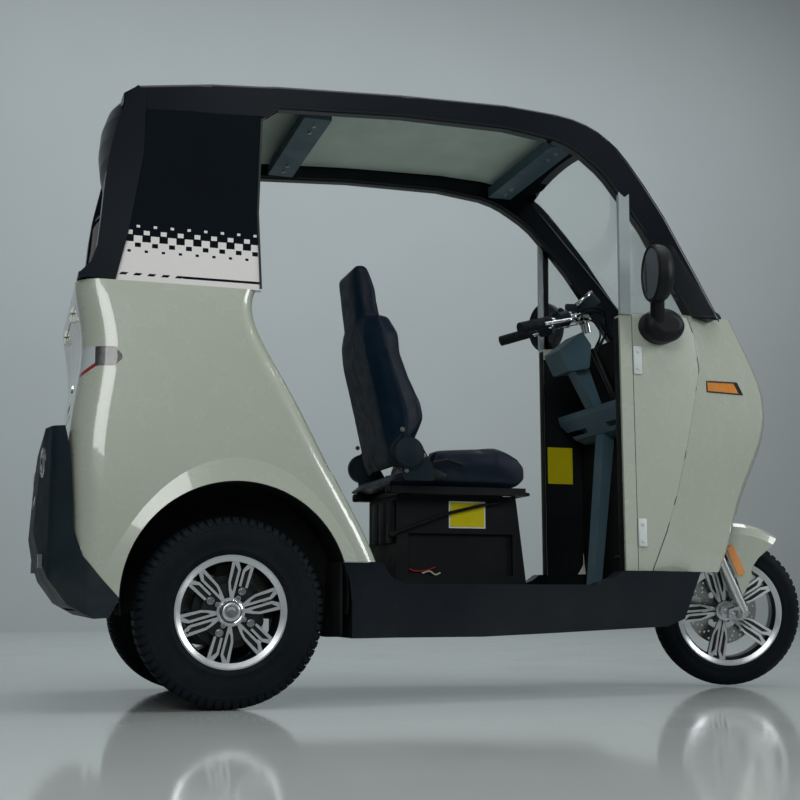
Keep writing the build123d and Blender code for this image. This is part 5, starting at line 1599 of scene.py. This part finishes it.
def bar_fittings(sizes):
    """Perches, reservoirs, buttons and cables of the handlebar."""
    chrome, dark, cables = [], [], []
    for side in (-1, 1):
        chrome.append(rod(bar(-76, side * 146, 15), bar(-96, side * 156, 10), 18 * MM, 28, 2 * MM))
        chrome.append(rod(bar(-70, side * 150, 14), bar(-52, side * 166, 16), 8 * MM, 16, 1.5 * MM))
        chrome.append(rod(bar(-30, side * 104, 21), bar(-44, side * 118, 20), 14.5 * MM, 24, 1.5 * MM))
        dark.append(moved(block_at(34, 26, 22, 3), STEERED.to_3x3().to_4x4()))
        moved(dark[-1], Matrix.Translation(bar(-66, side * 132, 46)))
        dark.append(rod(bar(-104, side * 166, 30), bar(-100, side * 164, 38), 9 * MM, 20, 2 * MM))
        dark.append(rod(bar(-124, side * 178, 20), bar(-120, side * 176, 30), 6 * MM, 16, 1.5 * MM))
        for lift in (0, 12):
            points = [bar(-52, side * 166, 16 + lift), bar(-8, side * 150, 34 + lift),
                      bar(44, side * 96, 30 + lift), bar(62, side * 44, -16), bar(40, side * 26, -70 - lift)]
            cables.append(tube(smooth_path(points), sizes.cable, 8))
    piece("bar_fittings", joined(*chrome), FINISHES["chrome"], "steering")
    piece("bar_switches", joined(*dark), FINISHES["plastic"], "steering")
    piece("bar_cables", joined(*cables), FINISHES["cable"], "steering")
    clamp = [rod(bar(-12, y, 23), bar(10, y, 23), 16 * MM, 24, 2 * MM) for y in (-16, 16)]
    piece("bar_clamps", joined(*clamp), FINISHES["steel"], "steering")


def block_at(x, y, z, bevel):
    """A bevelled box round the origin, of sizes in millimetres."""
    corners = [(-x / 2, -z / 2), (x / 2, -z / 2), (x / 2, z / 2), (-x / 2, z / 2)]
    return prism([(a * MM, -y / 2 * MM, b * MM) for a, b in corners],
                 [(a * MM, y / 2 * MM, b * MM) for a, b in corners], bevel * MM)


class CAR_OT_controls(bpy.types.Operator):
    """Speedometer, bar fittings, switches and cables"""
    bl_idname = "car.controls"
    bl_label = "Controls"

    def execute(self, context):
        dial()
        bar_fittings(context.scene.car_trim)
        return {"FINISHED"}


# Rear

# A plane behind the car, from which trim is laid onto its tail
BEHIND = -800
# Seal of the rear window: y and z seen from behind
WINDOW_SEAL = [(-284, 1092), (284, 1092), (246, 1448), (-246, 1448), (-284, 1092)]


def rear_ring(hit, middle, radii, thickness, steps):
    """A round wire laid on the tail, from its middle and radii in Y and Z."""
    angles = [2 * math.pi * k / steps for k in range(steps)]
    ring = [hit(car(BEHIND, middle[0] + radii[0] * math.cos(a), middle[1] + radii[1] * math.sin(a)),
                Vector((1, 0, 0)))[0]
            for a in angles]
    return tube([place for place in ring if place], thickness * MM, 8, True)


class CAR_OT_rear(bpy.types.Operator):
    """Reflector rims, plate washers, lid lock and window seal"""
    bl_idname = "car.rear"
    bl_label = "Rear trim"

    def execute(self, context):
        hit = surface("rear_bumper")
        ahead = Vector((1, 0, 0))
        rims = [rear_ring(hit, (y, 609), (17.5, 35.5), 2.6, 48) for y in (-322, 322)]
        piece("reflector_rims", joined(*rims), FINISHES["chrome"], "body")
        washers = [rear_ring(hit, (y, 530), (10, 10), 2.0, 32) for y in (-75, 75)]
        piece("plate_washers", joined(*washers), FINISHES["bolt"], "body")
        lid = surface("trunk_lid")
        place, way = lid(car(BEHIND, 0, 850), ahead)
        lock = rod(place + way * 0.003, place - way * 0.004, 12 * MM, 32, 1 * MM)
        piece("lid_lock", lock, FINISHES["chrome"], "trunk_lid")
        glass_hit = surface("rear_window")
        edge = laid([car(BEHIND, y, z) for y, z in WINDOW_SEAL], glass_hit, (1, 0, 0), 0.0005, 0.03)
        piece("rear_window_seal", tube(edge[:-1], 4 * MM, 8, True), FINISHES["cable"], "body")
        return {"FINISHED"}


class CAR_PT_panel(bpy.types.Panel):
    """Lists the car's pieces in the sidebar"""
    bl_label = "Three Wheeled Car"
    bl_space_type = "VIEW_3D"
    bl_region_type = "UI"
    bl_category = "Car"

    def draw(self, context):
        for operator in OPERATORS:
            self.layout.operator(operator.bl_idname)


OPERATORS = [CAR_OT_finishes, CAR_OT_stage, CAR_OT_tyres, CAR_OT_body, CAR_OT_wheels, CAR_OT_seats,
             CAR_OT_cabin, CAR_OT_controls, CAR_OT_rear]
GROUPS = {"car_colours": CarColours, "car_stage": StageSizes, "car_tyres": TyreSizes, "car_seats": SeatSizes,
          "car_print": PrintSizes, "car_trim": TrimSizes}


def register():
    for item in (*GROUPS.values(), *OPERATORS, CAR_PT_panel):
        bpy.utils.register_class(item)
    for name, group in GROUPS.items():
        setattr(bpy.types.Scene, name, PointerProperty(type=group))


def unregister():
    for name in GROUPS:
        delattr(bpy.types.Scene, name)
    for item in (*GROUPS.values(), *OPERATORS, CAR_PT_panel):
        bpy.utils.unregister_class(item)


def main():
    register()
    for operator in OPERATORS:
        group, name = operator.bl_idname.split(".")
        getattr(getattr(bpy.ops, group), name)()


if __name__ == "__main__":
    main()
